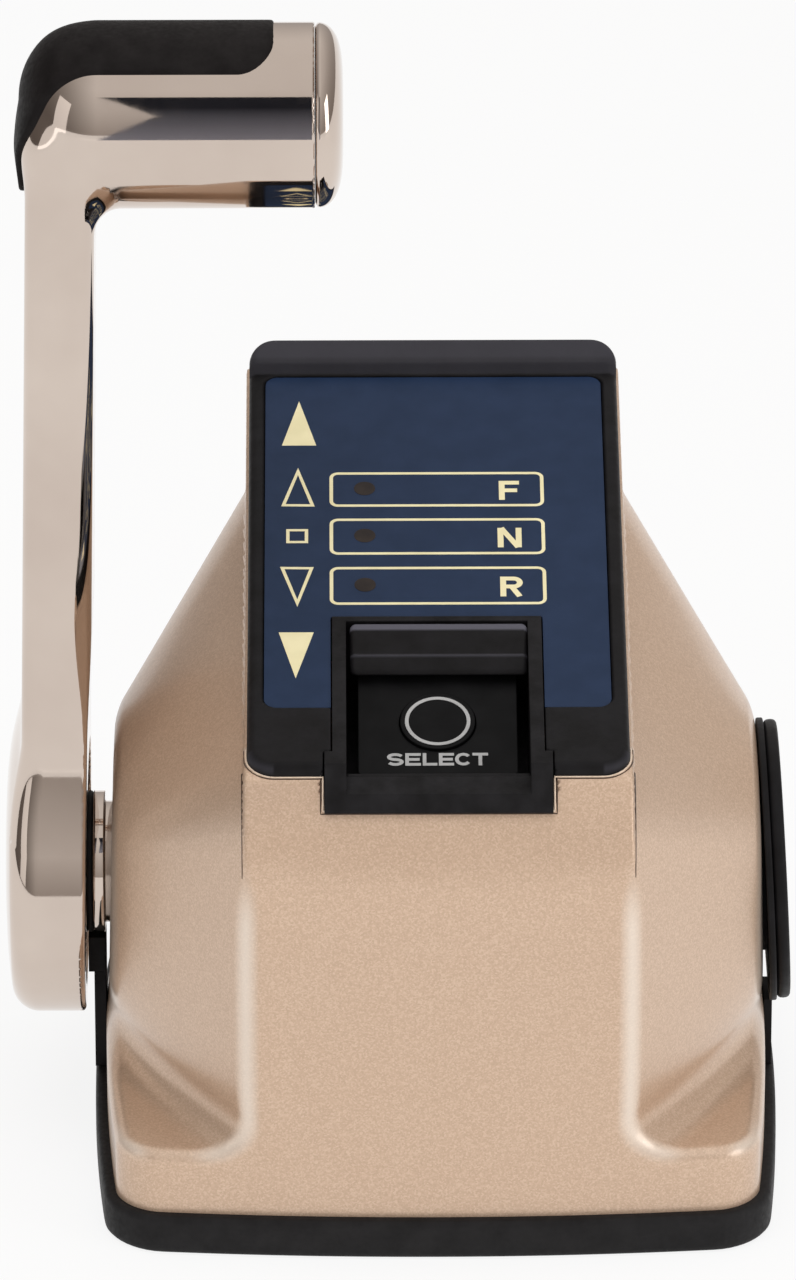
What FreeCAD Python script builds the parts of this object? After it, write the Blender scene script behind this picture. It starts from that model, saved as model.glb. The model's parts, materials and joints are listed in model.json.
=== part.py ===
import FreeCAD, Part
import math
import os
import re
import Sketcher
from FreeCAD import Placement, Rotation, Vector

# Top-mount throttle and shift control for a boat: a painted housing with a sloping
# indicator panel, and a polished lever on its left side that turns about a cross shaft.
# X points right, Y away from the helmsman, Z up. The origin is the middle of the mounting face.

doc = FreeCAD.newDocument("throttle_control")

# Driving dimensions in millimetres and degrees
SIZES = [
    ("axis_height", 51, "lever axis above the mounting face"),
    ("lever_range", 70, "lever travel each way from neutral"),
    ("cover_half_width", 65.3, "half width of the cover at its base"),
    ("cover_half_depth", 69, "half depth of the cover at its base"),
    ("side_bow", 2.6, "bulge of the side edges of the base outline"),
    ("front_bow", 2.6, "bulge of the front and rear edges of the base outline"),
    ("corner_across", 8, "base corner, measured across"),
    ("corner_along", 10, "base corner, measured front to rear"),
    ("cover_wall", 3, "wall of the cover"),
    ("ledge_height", 21, "height of the ledge round the cover's foot"),
    ("ledge_round", 2.5, "rounding of the ledge's outer edge"),
    ("strip_margin", 0.6, "raised middle of the cover beyond the bezel, each side"),
    ("drum_proud", 5.5, "round front of the middle strip beyond the cover's half depth"),
    ("cone_step", 0.5, "shoulder cone below the strip's round front"),
    ("cone_back", 0.9, "flat front of the shoulder behind the cover's half depth"),
    ("disc_radius", 27.7, "flat disc at the end of each shoulder cone"),
    ("disc_inset", 0.9, "disc's middle inside the cover's half width"),
    ("disc_lean", 2.6, "lean of the discs, top inwards"),
    ("front_bend", 26, "length of the soft bend in the front face, each way"),
    ("shoulder_drop", 1.5, "flattened top of the shoulders below the bezel"),
    ("shoulder_soften", 16, "blend at the ends of the flattened shoulder"),
    ("gasket_height", 8, "height of the rubber base gasket"),
    ("gasket_lip", 2.3, "gasket beyond the cover's foot"),
    ("gasket_web", 2, "sheet of the gasket under the base plate"),
    ("plate_inset", 4, "base plate inside the cover's foot"),
    ("panel_tilt", 15, "slope of the indicator panel"),
    ("panel_inset", 9, "panel reference line behind the cover's front"),
    ("panel_rise", 48.3, "panel reference line above the lever axis"),
    ("bezel_width", 73.4, "indicator bezel, across"),
    ("bezel_start", 4.5, "front edge of the bezel behind the reference line"),
    ("bezel_inset", 3.9, "rear edge of the bezel inside the cover's rear"),
    ("bezel_thick", 5, "thickness of the bezel"),
    ("bezel_corner", 5, "corner radius of the bezel"),
    ("bezel_round", 1.6, "rounding of the bezel's top edge"),
    ("hood_rise", 3.6, "rear rim of the bezel above the panel"),
    ("hood_length", 6.2, "rear rim of the bezel along the slope"),
    ("hood_edge", 0.5, "bezel beside and behind its rear rim"),
    ("hood_corner", 2.6, "corner radius of the rear rim"),
    ("hood_slant", 1.4, "slanted edge of the rear rim"),
    ("overlay_margin", 3.3, "bezel beside the overlay, each side"),
    ("overlay_start", 19.4, "front edge of the overlay behind the reference line"),
    ("overlay_behind", 8.4, "bezel behind the overlay"),
    ("overlay_thick", 0.5, "thickness of the overlay"),
    ("overlay_sink", 0.9, "depth of the overlay's seat"),
    ("overlay_corner", 2.5, "corner radius of the overlay"),
    ("tub_width", 40.6, "switch tub, outside"),
    ("tub_inside", 35.2, "switch tub, inside"),
    ("tub_end", 46.2, "rear end of the switch tub behind the reference line"),
    ("tub_depth", 20, "depth of the switch tub"),
    ("tub_floor", 2, "floor of the switch tub"),
    ("tub_back", 1.4, "rear wall of the switch tub"),
    ("tab_width", 43.6, "tab of the switch tub over the front of the cover"),
    ("tab_proud", 1.1, "tab outside the front of the cover"),
    ("tab_thick", 3.2, "thickness of the tab"),
    ("tab_low", 41.2, "lower edge of the tab above the lever axis"),
    ("key_width", 30.6, "key plate, across"),
    ("key_length", 27, "key plate, along"),
    ("key_thick", 2.4, "thickness of the key plate"),
    ("key_corner", 1, "corner radius of the key plate"),
    ("key_middle", 21.6, "middle of the key behind the reference line"),
    ("key_drop", 6.2, "middle of the key below the panel"),
    ("key_steeper", 7, "extra slope of the key plate"),
    ("key_radius", 7.2, "radius of the select button"),
    ("key_travel", 0.8, "travel of the select button"),
    ("guard_width", 34.6, "guard bar over the key, across"),
    ("guard_start", 31.5, "front of the guard bar behind the reference line"),
    ("guard_thick", 4.1, "thickness of the guard bar"),
    ("board_margin", 5.7, "indicator board inside the bezel, each side"),
    ("board_behind", 13.7, "indicator board inside the bezel's rear edge"),
    ("board_thick", 1.6, "thickness of the circuit boards"),
    ("board_drop", 11, "indicator board below the panel"),
    ("lamp_column", 13.8, "lamps to the left of the centre line"),
    ("lamp_first", 55.7, "first lamp behind the reference line"),
    ("lamp_pitch", 15, "distance from lamp to lamp"),
    ("lamp_radius", 1.9, "radius of the light pipes"),
    ("shaft_radius", 7, "lever shaft"),
    ("shaft_spare", 4, "lever shaft beyond the right cheek"),
    ("running_gap", 0.25, "clearance round turning pieces"),
    ("cheek_place", 40, "inner face of the bearing cheeks"),
    ("cheek_thick", 5, "thickness of the bearing cheeks"),
    ("cheek_radius", 17, "round top of the bearing cheeks"),
    ("frame_inset", 33, "chassis frame inside the cover's front and rear"),
    ("frame_floor", 4, "floor of the chassis frame"),
    ("bearing_radius", 10, "outside of the shaft bearings"),
    ("bearing_flange", 13, "flange of the shaft bearings"),
    ("collar_radius", 14, "polished collar of the shaft"),
    ("collar_start", 69.6, "outer face of the collar"),
    ("collar_neck", 12, "neck of the collar in the cover"),
    ("seal_place", 68.1, "middle of the seal ring in the collar"),
    ("seal_width", 1.3, "width of the seal ring"),
    ("cap_radius", 28, "round cap on the right side"),
    ("cap_thick", 2.7, "thickness of the round cap"),
    ("cap_ring", 1.4, "thickness of the ring under the cap"),
    ("cap_spigot", 18, "spigot of the cap in the cover"),
    ("neck_half", 5, "half width of the side necks"),
    ("neck_thick", 2.3, "thickness of the left side neck"),
    ("neck_right_thick", 1.6, "thickness of the right side neck"),
    ("neck_gap", 0.6, "right side neck below the ring of the round cap"),
    ("hub_radius", 29.6, "hub of the lever"),
    ("hub_inner", 68.6, "inner face of the lever hub"),
    ("hub_outer", 84.6, "outer face of the lever hub at its middle"),
    ("hub_dome", 4.5, "doming of the hub's outer face"),
    ("arm_inner", 66.2, "inner face of the lever arm"),
    ("arm_outer", 78.6, "outer face of the lever arm at the grip"),
    ("arm_low_outer", 81.6, "outer face of the lever arm at the hub"),
    ("arm_low_half", 17, "half width of the arm at the hub"),
    ("arm_high_half", 13.5, "half width of the arm at the grip"),
    ("grip_height", 158.8, "grip axis above the lever axis"),
    ("grip_radius", 17.8, "grip of the lever"),
    ("grip_wall", 3, "wall of the hollow grip"),
    ("grip_seam", 23, "joint between grip and end cap"),
    ("grip_end", 17.7, "right end of the grip"),
    ("pad_depth", 1.6, "depth of the pad's pocket"),
    ("pad_proud", 0.4, "pad above the grip"),
    ("pad_end", 31, "right end of the pad"),
    ("pad_from", 53, "front edge of the pad above the horizontal"),
    ("pad_to", 147, "rear edge of the pad above the horizontal"),
    ("gear_teeth", 40, "teeth of the drive gear"),
    ("pinion_teeth", 20, "teeth of the sensor gear"),
    ("gear_module", 1, "module of the gears"),
    ("gear_width", 6, "width of the gears"),
    ("gear_place", 24, "left face of the gears"),
    ("gear_slack", 0.35, "extra centre distance of the gears"),
    ("pinion_angle", 58, "direction of the sensor gear above the rear horizontal"),
    ("detent_place", 30, "left face of the detent disc"),
    ("detent_thick", 5, "thickness of the detent disc"),
    ("detent_radius", 24, "detent disc"),
    ("gate_angle", 14, "gear gates on each side of neutral"),
    ("lug_half", 4, "half width of the stop lug"),
    ("lug_reach", 30, "reach of the stop lug"),
    ("stop_radius", 2.5, "stop pins"),
    ("stop_circle", 27, "pitch radius of the stop pins"),
    ("plunger_radius", 3.5, "detent plunger"),
    ("plunger_length", 10, "detent plunger, tip to tail"),
    ("drum_place", 5, "left face of the friction drum"),
    ("brake_radius", 12, "friction drum"),
    ("brake_width", 12, "width of the friction drum"),
    ("shoe_thick", 8, "height of the friction shoe"),
    ("insert_beside", 13.3, "mounting inserts inside the cover's sides"),
    ("insert_inset", 19, "mounting inserts inside the cover's front and rear"),
    ("insert_bore", 2.5, "bore radius of the mounting inserts"),
    ("insert_radius", 4.5, "outside of the mounting inserts"),
    ("insert_length", 11.5, "length of the mounting inserts"),
    ("outlet_rear", 26, "harness outlet behind the centre"),
    ("outlet_radius", 8, "bore radius of the harness outlet"),
    ("grommet_wall", 3, "wall of the harness grommet"),
    ("boss_beside", 3.3, "cover screws inside the raised middle's sides"),
    ("boss_inset", 17, "cover screws inside the cover's front and rear"),
    ("boss_radius", 4.5, "bosses of the cover"),
    ("boss_hole", 16, "depth of the holes in the bosses"),
    ("cover_screw_length", 20, "length of the cover screws"),
    ("foot_beside", 10, "chassis screws inside the bearing cheeks"),
    ("foot_inset", 6, "chassis screws inside the frame's ends"),
    ("foot_screw_length", 9, "length of the chassis screws"),
    ("insert_mouth", 0.5, "mouth of the inserts above the mounting face"),
    ("insert_cap", 2, "closed end of the inserts"),
    ("adjuster_radius", 3, "friction adjusting screw"),
    ("adjuster_boss", 7, "boss of the adjusting screw"),
    ("adjuster_top", 24, "top of the adjusting screw's boss"),
    ("adjuster_low", 3, "lower end of the adjusting screw"),
    ("stop_spare", 1, "travel left before the stop pins"),
    ("stop_pin_out", 8, "stop pins inside the left cheek"),
    ("flange_thick", 2, "thickness of the bearing flanges"),
    ("shaft_gap", 0.08, "clearance of the shaft in its bearings"),
    ("collar_seat", 65.2, "inner face of the collar"),
    ("collar_inside", 59, "inner end of the collar's neck"),
    ("cap_lean", 3, "lean of the cap, top inwards"),
    ("cap_stand", 0.35, "ring's back outside the disc's middle"),
    ("cap_step", 0.4, "cap smaller than its ring"),
    ("cap_reach", 5, "spigot inside the cover"),
    ("boot_low", 29, "lower edge of the boot"),
    ("boot_high", 36.6, "upper edge of the boot"),
    ("boot_thick", 3.4, "thickness of the boot"),
    ("tab_dip", 3.6, "floor of the slot in the tab below the panel"),
    ("key_raise", 0.5, "button above its plate"),
    ("button_lip", 1, "lip of the button under the plate"),
    ("switch_height", 3.5, "height of the push switch"),
    ("guard_round", 1.9, "round front edges of the guard"),
    ("post_inset", 4, "board posts inside the board's edge"),
    ("lamp_height", 3, "height of the lamps on the board"),
    ("arm_round", 6, "corner radius of the arm's section"),
    ("arm_clear", 34, "relief on the arm's inner face above the hub"),
    ("recess_spare", 1, "room round the collar in the hub"),
    ("recess_depth", 1.9, "depth of the recess in the hub"),
    ("boot_clear", 24, "recess in the hub that clears the boot"),
    ("shaft_grip", 12, "shaft inside the hub"),
    ("set_radius", 3, "set screw of the hub"),
    ("set_sink", 2, "set screw below the hub's rim"),
    ("cap_plug", 8, "plug of the end cap"),
    ("trim_right", 66.5, "right edge of the trim switch"),
    ("trim_left_in", 1.5, "left edge of the trim switch inside the arm"),
    ("trim_face", 12, "back of the trim switch's seat"),
    ("trim_deep", 5, "depth of the trim switch's body"),
    ("trim_below", 27.8, "lower edge of the trim switch below the grip's axis"),
    ("trim_tall", 22, "height of the trim switch"),
    ("rocker_rim", 1.5, "rim of the trim switch round its rocker"),
    ("rocker_crown", 3, "height of the rocker"),
    ("rocker_dish", 0.9, "hollow of the rocker's face"),
    ("rocker_pivot", 1.2, "pivot of the rocker"),
    ("spindle_radius", 3, "spindle of the sensor gear"),
    ("spindle_length", 14, "length of the sensor gear's spindle"),
    ("sensor_radius", 9, "case of the lever sensor"),
    ("gate_radius", 2.2, "gates of the detent disc"),
    ("detent_wall", 1.5, "wall of the detent housing"),
    ("detent_tall", 9, "height of the detent housing"),
    ("spring_wire", 0.8, "wire of the detent spring"),
    ("screw_radius", 2, "thread of the small screws"),
    ("screw_head", 3.6, "head of the small screws"),
    ("head_height", 2.2, "height of the screw heads"),
    ("socket_radius", 1.5, "hexagon socket of the small screws"),
    ("socket_depth", 1.5, "depth of the hexagon sockets"),
    ("clip_thick", 1.2, "thickness of the circlip"),
    ("clip_wide", 2, "circlip beyond the shaft"),
    ("clip_inset", 2.4, "circlip inside the shaft's end"),
    ("elbow_round", 15.1, "round of the lever's elbow"),
    ("cap_edge", 1.6, "round edge of the side cap"),
    ("tip_round", 4.2, "round edge of the grip's end cap"),
    ("tooth_rise", 0.8, "gear tooth above the pitch circle"),
    ("tooth_root", 1.15, "gear tooth below the pitch circle"),
    ("tooth_foot", 0.95, "half width of a gear tooth at its root"),
    ("tooth_tip", 0.32, "half width of a gear tooth at its tip"),
    ("shoe_half", 9.6, "half width of the friction shoe"),
    ("shoe_rise", 4.8, "sides of the friction shoe round its drum"),
    ("ear_thick", 2, "ears of the guard bar"),
    ("ear_drop", 3.3, "ears of the guard bar below the panel"),
    ("stem_case", 2.1, "height of the push switch's case"),
    ("lamp_slim", 0.4, "lamps thinner than their light pipes"),
    ("spring_pitch", 1.25, "distance between the turns of the detent spring"),
]

# Sizes that follow from those above
FOLLOWERS = [
    ("drum_radius", "cover_half_depth + drum_proud", "round front of the middle strip"),
    ("cone_radius", "drum_radius - cone_step", "shoulder cone where it meets the strip"),
    ("cone_front", "cover_half_depth - cone_back", "flat front of the shoulder at the strip"),
    ("strip_half_width", "bezel_width / 2 + strip_margin", "half width of the raised middle"),
    ("disc_reach", "cover_half_width - disc_inset", "distance of the disc from the centre"),
    ("panel_front", "cover_half_depth - panel_inset", "reference line in front of the axis"),
    ("panel_level", "axis_height + panel_rise", "height of the panel reference line"),
    ("bezel_length", "(panel_front + cover_half_depth - bezel_inset) / cos(panel_tilt) - bezel_start",
     "indicator bezel, along the slope"),
    ("overlay_width", "bezel_width - 2 * overlay_margin", "indicator overlay, across"),
    ("overlay_length", "bezel_start + bezel_length - overlay_start - overlay_behind",
     "indicator overlay, along the slope"),
    ("board_width", "bezel_width - 2 * board_margin", "indicator board, across"),
    ("board_start", "tub_end + board_thick", "front edge of the indicator board"),
    ("board_length", "bezel_start + bezel_length - board_start - board_behind",
     "indicator board, along the slope"),
    ("neck_top", "axis_height - cap_radius - neck_gap", "top of the right side neck"),
    ("shaft_end", "cheek_place + cheek_thick + shaft_spare", "right end of the lever shaft"),
    ("frame_depth", "2 * (cover_half_depth - frame_inset)", "chassis frame, front to rear"),
    ("insert_across", "cover_half_width - insert_beside", "mounting inserts from the centre"),
    ("insert_along", "cover_half_depth - insert_inset", "mounting inserts from the centre"),
    ("boss_across", "strip_half_width - boss_beside", "cover screws from the centre"),
    ("boss_along", "cover_half_depth - boss_inset", "cover screws from the centre"),
    ("foot_across", "cheek_place - foot_beside", "chassis screws from the centre"),
    ("foot_along", "frame_depth / 2 - foot_inset", "chassis screws from the centre"),
    ("trim_low", "grip_height - trim_below", "lower edge of the trim switch above the lever axis"),
    ("sensor_out", "(gear_teeth + pinion_teeth) * gear_module / 2 + gear_slack",
     "sensor gear from the lever axis"),
    ("sensor_y", "sensor_out * cos(pinion_angle)", "sensor gear behind the lever axis"),
    ("sensor_z", "axis_height + sensor_out * sin(pinion_angle)", "height of the sensor gear"),
]

WORD = re.compile(r"\b(" + "|".join(row[0] for row in SIZES + FOLLOWERS) + r")\b")

sheet = doc.addObject("Spreadsheet::Sheet", "Sizes")
for row, (name, worth, note) in enumerate(SIZES + FOLLOWERS, 1):
    sheet.set(f"A{row}", note)
    sheet.set(f"B{row}", f"={worth}" if isinstance(worth, str) else str(worth))
    sheet.setAlias(f"B{row}", name)
doc.recompute()


def size(name):
    return float(getattr(sheet, name))


def tie(piece, prop, formula):
    piece.setExpression(prop, WORD.sub(r"Sizes.\1", formula))


def put(piece, at):
    for letter, formula in zip("xyz", at):
        tie(piece, f"Placement.Base.{letter}", formula)
    return piece


def box(name, dims, at):
    piece = doc.addObject("Part::Box", name)
    for prop, formula in zip(("Length", "Width", "Height"), dims):
        tie(piece, prop, formula)
    return put(piece, at)


TURNS = {
    "X": Rotation(Vector(0, 1, 0), 90),
    "Y": Rotation(Vector(1, 0, 0), -90),
    "Z": Rotation(),
}


def rod(name, radius, length, at, along="Z"):
    piece = doc.addObject("Part::Cylinder", name)
    tie(piece, "Radius", radius)
    tie(piece, "Height", length)
    piece.Placement = Placement(Vector(), TURNS[along])
    return put(piece, at)


def cut(name, base, tool):
    piece = doc.addObject("Part::Cut", name)
    piece.Base = base
    piece.Tool = tool
    return piece


def join(name, pieces):
    piece = doc.addObject("Part::MultiFuse", name)
    piece.Shapes = pieces
    return piece


def group(name, pieces):
    piece = doc.addObject("Part::Compound", name)
    piece.Links = pieces
    return piece


def solid(name, shape):
    piece = doc.addObject("Part::Feature", name)
    piece.Shape = shape
    return piece


def onto_panel(piece):
    piece.Placement = Placement(Vector(), Rotation(Vector(1, 0, 0), size("panel_tilt")))
    tie(piece, "Placement.Rotation.Angle", "panel_tilt")
    return put(piece, ("0", "-panel_front", "panel_level"))


def onto_key(piece):
    piece.Placement = Placement(Vector(), Rotation(Vector(1, 0, 0), size("panel_tilt")))
    tie(piece, "Placement.Rotation.Angle", "panel_tilt + key_steeper")
    return put(piece, (
        "0",
        "-panel_front + key_middle * cos(panel_tilt) + key_drop * sin(panel_tilt)",
        "panel_level + key_middle * sin(panel_tilt) - key_drop * cos(panel_tilt)",
    ))


# Rounded rectangle sketch, its size and place held by constraints

TINY = 1e-6


def line(a, b):
    return Part.LineSegment(Vector(*a, 0), Vector(*b, 0))


def rounded_sketch(body, name, across, along, corner, start, level="0"):
    """Centred across; runs from start to start + along. All four are formulas."""
    sketch = body.newObject("Sketcher::SketchObject", name)
    plane = [f for f in body.Origin.OriginFeatures if f.Role == "XY_Plane"][0]
    sketch.AttachmentSupport = [(plane, "")]
    sketch.MapMode = "FlatFace"
    tie(sketch, "AttachmentOffset.Base.z", level)
    w, d, r, y = (value(part) for part in (across, along, corner, start))
    x = w / 2
    ends = [(x - r, y), (x, y + r), (x, y + d - r), (x - r, y + d),
            (-x + r, y + d), (-x, y + d - r), (-x, y + r), (-x + r, y)]
    centres = [(x - r, y + r), (x - r, y + d - r), (-x + r, y + d - r), (-x + r, y + r)]
    lines = [sketch.addGeometry(line(ends[i], ends[(i + 1) % 8])) for i in (7, 1, 3, 5)]
    arcs = []
    for number, centre in enumerate(centres):
        circle = Part.Circle(Vector(*centre, 0), Vector(0, 0, 1), r)
        turn = math.radians(90 * (number - 1))
        arcs.append(sketch.addGeometry(Part.ArcOfCircle(circle, turn, turn + math.pi / 2)))
    add = sketch.addConstraint
    rule = Sketcher.Constraint
    for number in range(4):
        add(rule("Tangent", lines[number], 2, arcs[number], 1))
        add(rule("Tangent", arcs[number], 2, lines[(number + 1) % 4], 1))
        add(rule("Horizontal" if number % 2 == 0 else "Vertical", lines[number]))
    for other in arcs[1:]:
        add(rule("Equal", arcs[0], other))
    held = [
        ("Corner", rule("Radius", arcs[0], r), corner),
        ("Right", rule("DistanceX", -1, 1, lines[1], 1, x), f"({across}) / 2"),
        ("Left", rule("DistanceX", lines[3], 1, -1, 1, x), f"({across}) / 2"),
        ("Span", rule("DistanceY", lines[0], 1, lines[2], 1, d), along),
        ("Start", rule("DistanceY", -1, 1, lines[0], 1, y), start),
    ]
    for label, constraint, formula in held:
        index = add(constraint)
        sketch.renameConstraint(index, label)
        tie(sketch, f"Constraints.{label}", formula)
    return sketch


def value(formula):
    """Worth of a formula of the sheet's names, for a sketch's first drawing."""
    cell = doc.getObject("Worth") or doc.addObject("App::FeaturePython", "Worth")
    if "number" not in cell.PropertiesList:
        cell.addProperty("App::PropertyFloat", "number")
    tie(cell, "number", formula)
    cell.recompute()
    return cell.number


def pad(body, sketch, name, length):
    feature = body.newObject("PartDesign::Pad", name)
    feature.Profile = sketch
    tie(feature, "Length", length)
    return feature


def pocket(body, sketch, name, length):
    """Cuts from the sketch upwards."""
    feature = body.newObject("PartDesign::Pocket", name)
    feature.Profile = sketch
    feature.Reversed = True
    tie(feature, "Length", length)
    return feature


def plate(name, across, along, corner, start, low, thick):
    """A flat plate with round corners as a body."""
    body = doc.addObject("PartDesign::Body", name)
    outline = rounded_sketch(body, name + "_outline", across, along, corner, start, low)
    pad(body, outline, name + "_pad", thick)
    return body


# Base outline, shared by the gasket, the cover and the base plate

def base_outline(grow, level):
    """Bowed sides and ends with blended corners, grown outwards by grow."""
    wide = size("cover_half_width") + grow
    deep = size("cover_half_depth") + grow
    side_x = wide - size("side_bow")
    side_y = deep - size("front_bow") - size("corner_along")
    end_x = side_x - size("corner_across")
    end_y = deep - size("front_bow")
    side = Part.Arc(Vector(side_x, -side_y, level), Vector(wide, 0, level),
                    Vector(side_x, side_y, level))
    front = Part.Arc(Vector(-end_x, -end_y, level), Vector(0, -deep, level),
                     Vector(end_x, -end_y, level))
    side_slope = side.tangent(side.FirstParameter)[0]
    front_slope = front.tangent(front.LastParameter)[0]
    gap = Vector(side_x, -side_y, level) - Vector(end_x, -end_y, level)
    across = front_slope.cross(side_slope).z
    along = gap.cross(side_slope).z / across
    pole = Vector(end_x, -end_y, level) + front_slope * along
    corner = Part.BezierCurve()
    corner.setPoles([Vector(end_x, -end_y, level), pole, Vector(side_x, -side_y, level)])
    quarter = [front.toShape(), corner.toShape(), side.toShape()]
    mirror = corner.toShape().mirror(Vector(0, 0, level), Vector(0, 1, 0))
    edges = quarter + [mirror]
    edges += [edge.rotated(Vector(), Vector(0, 0, 1), 180) for edge in edges]
    return Part.Wire(Part.__sortEdges__(edges))


def base_prism(grow, low, high):
    return Part.Face(base_outline(grow, low)).extrude(Vector(0, 0, high - low))


def disc_along_x(radius, start, length, y=0, z=None):
    z = size("axis_height") if z is None else z
    return Part.makeCylinder(radius, length, Vector(start, y, z), Vector(1, 0, 0))


# Cover: a middle strip, two shoulder cones about the lever axis, and a foot with a ledge

def strip_profile(inset):
    """Side view of the middle strip: front face, soft bend, drum front, slope, rear."""
    axis = size("axis_height")
    front = size("cover_half_depth") - inset
    drum = size("drum_radius") - inset
    tilt = math.radians(size("panel_tilt"))
    under = size("bezel_thick") + inset
    sunk = Vector(0, -size("panel_front") + under * math.sin(tilt),
                  size("panel_level") - under * math.cos(tilt))
    slope = Vector(0, math.cos(tilt), math.sin(tilt))
    bend = math.acos(front / drum)
    reach = size("front_bend")
    low = Vector(0, -front, axis + drum * math.sin(bend) - reach)
    knee = Vector(0, -front, axis + drum * math.sin(bend))
    after = bend + reach / drum * 0.25
    high = Vector(0, -drum * math.cos(after), axis + drum * math.sin(after))
    foot = sunk - Vector(0, 0, axis)
    along = foot.dot(slope)
    leave = -along - math.sqrt(along ** 2 - foot.dot(foot) + drum ** 2)
    top = sunk + slope * leave
    middle = (high - Vector(0, 0, axis)) + (top - Vector(0, 0, axis))
    middle = Vector(0, 0, axis) + middle * (drum / middle.Length)
    end = size("bezel_start") + size("bezel_length") + size("cover_wall") / 2 - inset
    back = sunk + slope * end
    waist = Vector(0, front, axis)
    floor = -2 * size("cover_wall") if inset else size("gasket_height")
    curve = Part.BezierCurve()
    curve.setPoles([low, knee, high])
    edges = [
        Part.makeLine(Vector(0, -front, floor), low),
        curve.toShape(),
        Part.Arc(high, middle, top).toShape(),
        Part.makeLine(top, back),
        Part.makeLine(back, waist),
        Part.makeLine(waist, Vector(0, front, floor)),
        Part.makeLine(Vector(0, front, floor), Vector(0, -front, floor)),
    ]
    return Part.Wire(edges)


THIRDS = (0, 1 / 3, 2 / 3, 1)
TOP_SHARES = (0, 0.3, 0.7, 1)


def arcs_about(centre, radius, start, turn, shares):
    """Arcs round centre in its upright plane across X, one from each share of the turn to the next."""
    def on(share):
        angle = start + turn * share
        return centre + Vector(0, math.cos(angle), math.sin(angle)) * radius

    return [Part.Arc(on(a), on((a + b) / 2), on(b)).toShape() for a, b in zip(shares, shares[1:])]


def cone(inset, side):
    """Shoulder: ruled from the flattened circle beside the strip to the small disc."""
    tilt = math.radians(size("panel_tilt"))
    slope = Vector(0, math.cos(tilt), math.sin(tilt))
    axis = size("axis_height")
    run = size("disc_reach") - size("strip_half_width")
    flare = (size("cone_radius") - size("disc_radius")) / run
    large = size("cone_radius") - inset * math.sqrt(1 + flare ** 2)
    small = size("disc_radius") - inset * (math.sqrt(1 + flare ** 2) - flare)
    under = size("bezel_thick") + size("shoulder_drop") + inset
    sunk = Vector(0, -size("panel_front") + under * math.sin(tilt),
                  size("panel_level") - under * math.cos(tilt) - axis)
    along = sunk.dot(slope)
    root = math.sqrt(along ** 2 - sunk.dot(sunk) + large ** 2)
    first = sunk + slope * (-along - root)
    last = sunk + slope * (-along + root)
    soften = size("shoulder_soften")
    front = math.atan2(first.z, first.y) + soften / large
    rear = math.atan2(last.z, last.y) - soften / large
    inner = size("strip_half_width")
    below = 2 * math.pi - (front - rear)
    big = arcs_about(Vector(side * inner, 0, axis), large, front, below, THIRDS)
    front_point = big[0].Vertexes[0].Point
    rear_point = big[-1].Vertexes[-1].Point
    corner_front = Vector(side * inner, first.y, first.z + axis)
    corner_rear = Vector(side * inner, last.y, last.z + axis)
    line_front = corner_front + slope * soften
    line_rear = corner_rear - slope * soften

    def bend(a, b, c):
        curve = Part.BezierCurve()
        curve.setPoles([a, b, c])
        return curve.toShape()

    big += [bend(rear_point, corner_rear, line_rear), Part.makeLine(line_rear, line_front),
            bend(line_front, corner_front, front_point)]
    centre = Vector(side * (size("disc_reach") - inset), 0, axis)
    disc = arcs_about(centre, small, front, below, THIRDS)
    disc += arcs_about(centre, small, rear, front - rear, TOP_SHARES)
    disc = [edge.rotated(centre, Vector(0, 1, 0), -side * size("disc_lean")) for edge in disc]
    return Part.makeLoft([Part.Wire(big), Part.Wire(disc)], True, True), Part.Wire(big)


def shoulder_room(inset, low, high):
    """Keeps the strip whole and gives each shoulder its slanted flat front."""
    half = size("strip_half_width")
    front = size("cone_front")
    slope = (front - size("disc_radius")) / (size("disc_reach") - half)
    front -= inset * math.sqrt(1 + slope ** 2)
    far = size("cover_half_width") + size("cover_wall")
    side = front - slope * (far - half)
    deep = 2 * size("cover_half_depth")
    right = [(half, -deep), (half, -front), (far, -side), (far, deep)]
    left = [(-x, y) for x, y in reversed(right)]
    corners = [Vector(x, y, low) for x, y in right + left + right[:1]]
    return Part.Face(Part.makePolygon(corners)).extrude(Vector(0, 0, high - low))


def cover_block(inset):
    """Outside of the cover, or its inside when inset by the wall."""
    low = -2 * size("cover_wall") if inset else size("gasket_height")
    half = size("strip_half_width")
    narrow = half - inset
    strip = Part.Face(strip_profile(inset)).extrude(Vector(2 * narrow, 0, 0))
    strip.translate(Vector(-narrow, 0, 0))
    right = cone(inset, 1)[0]
    left, outline = cone(inset, -1)
    middle = Part.Face(outline).extrude(Vector(2 * half, 0, 0))
    body = strip.fuse([right, left, middle] if inset else [right, left])
    high = size("panel_level") + size("bezel_length")
    body = body.common(base_prism(-inset, low, high)).common(shoulder_room(inset, low, high))
    foot_top = size("ledge_height") - inset
    foot = base_prism(-inset, low, foot_top)
    if not inset:
        rim = [edge for edge in foot.Edges
               if min(edge.BoundBox.ZMin, edge.BoundBox.ZMax) > foot_top - TINY]
        foot = foot.makeFillet(size("ledge_round"), rim)
    return body.fuse(foot).Solids[0]


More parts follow.
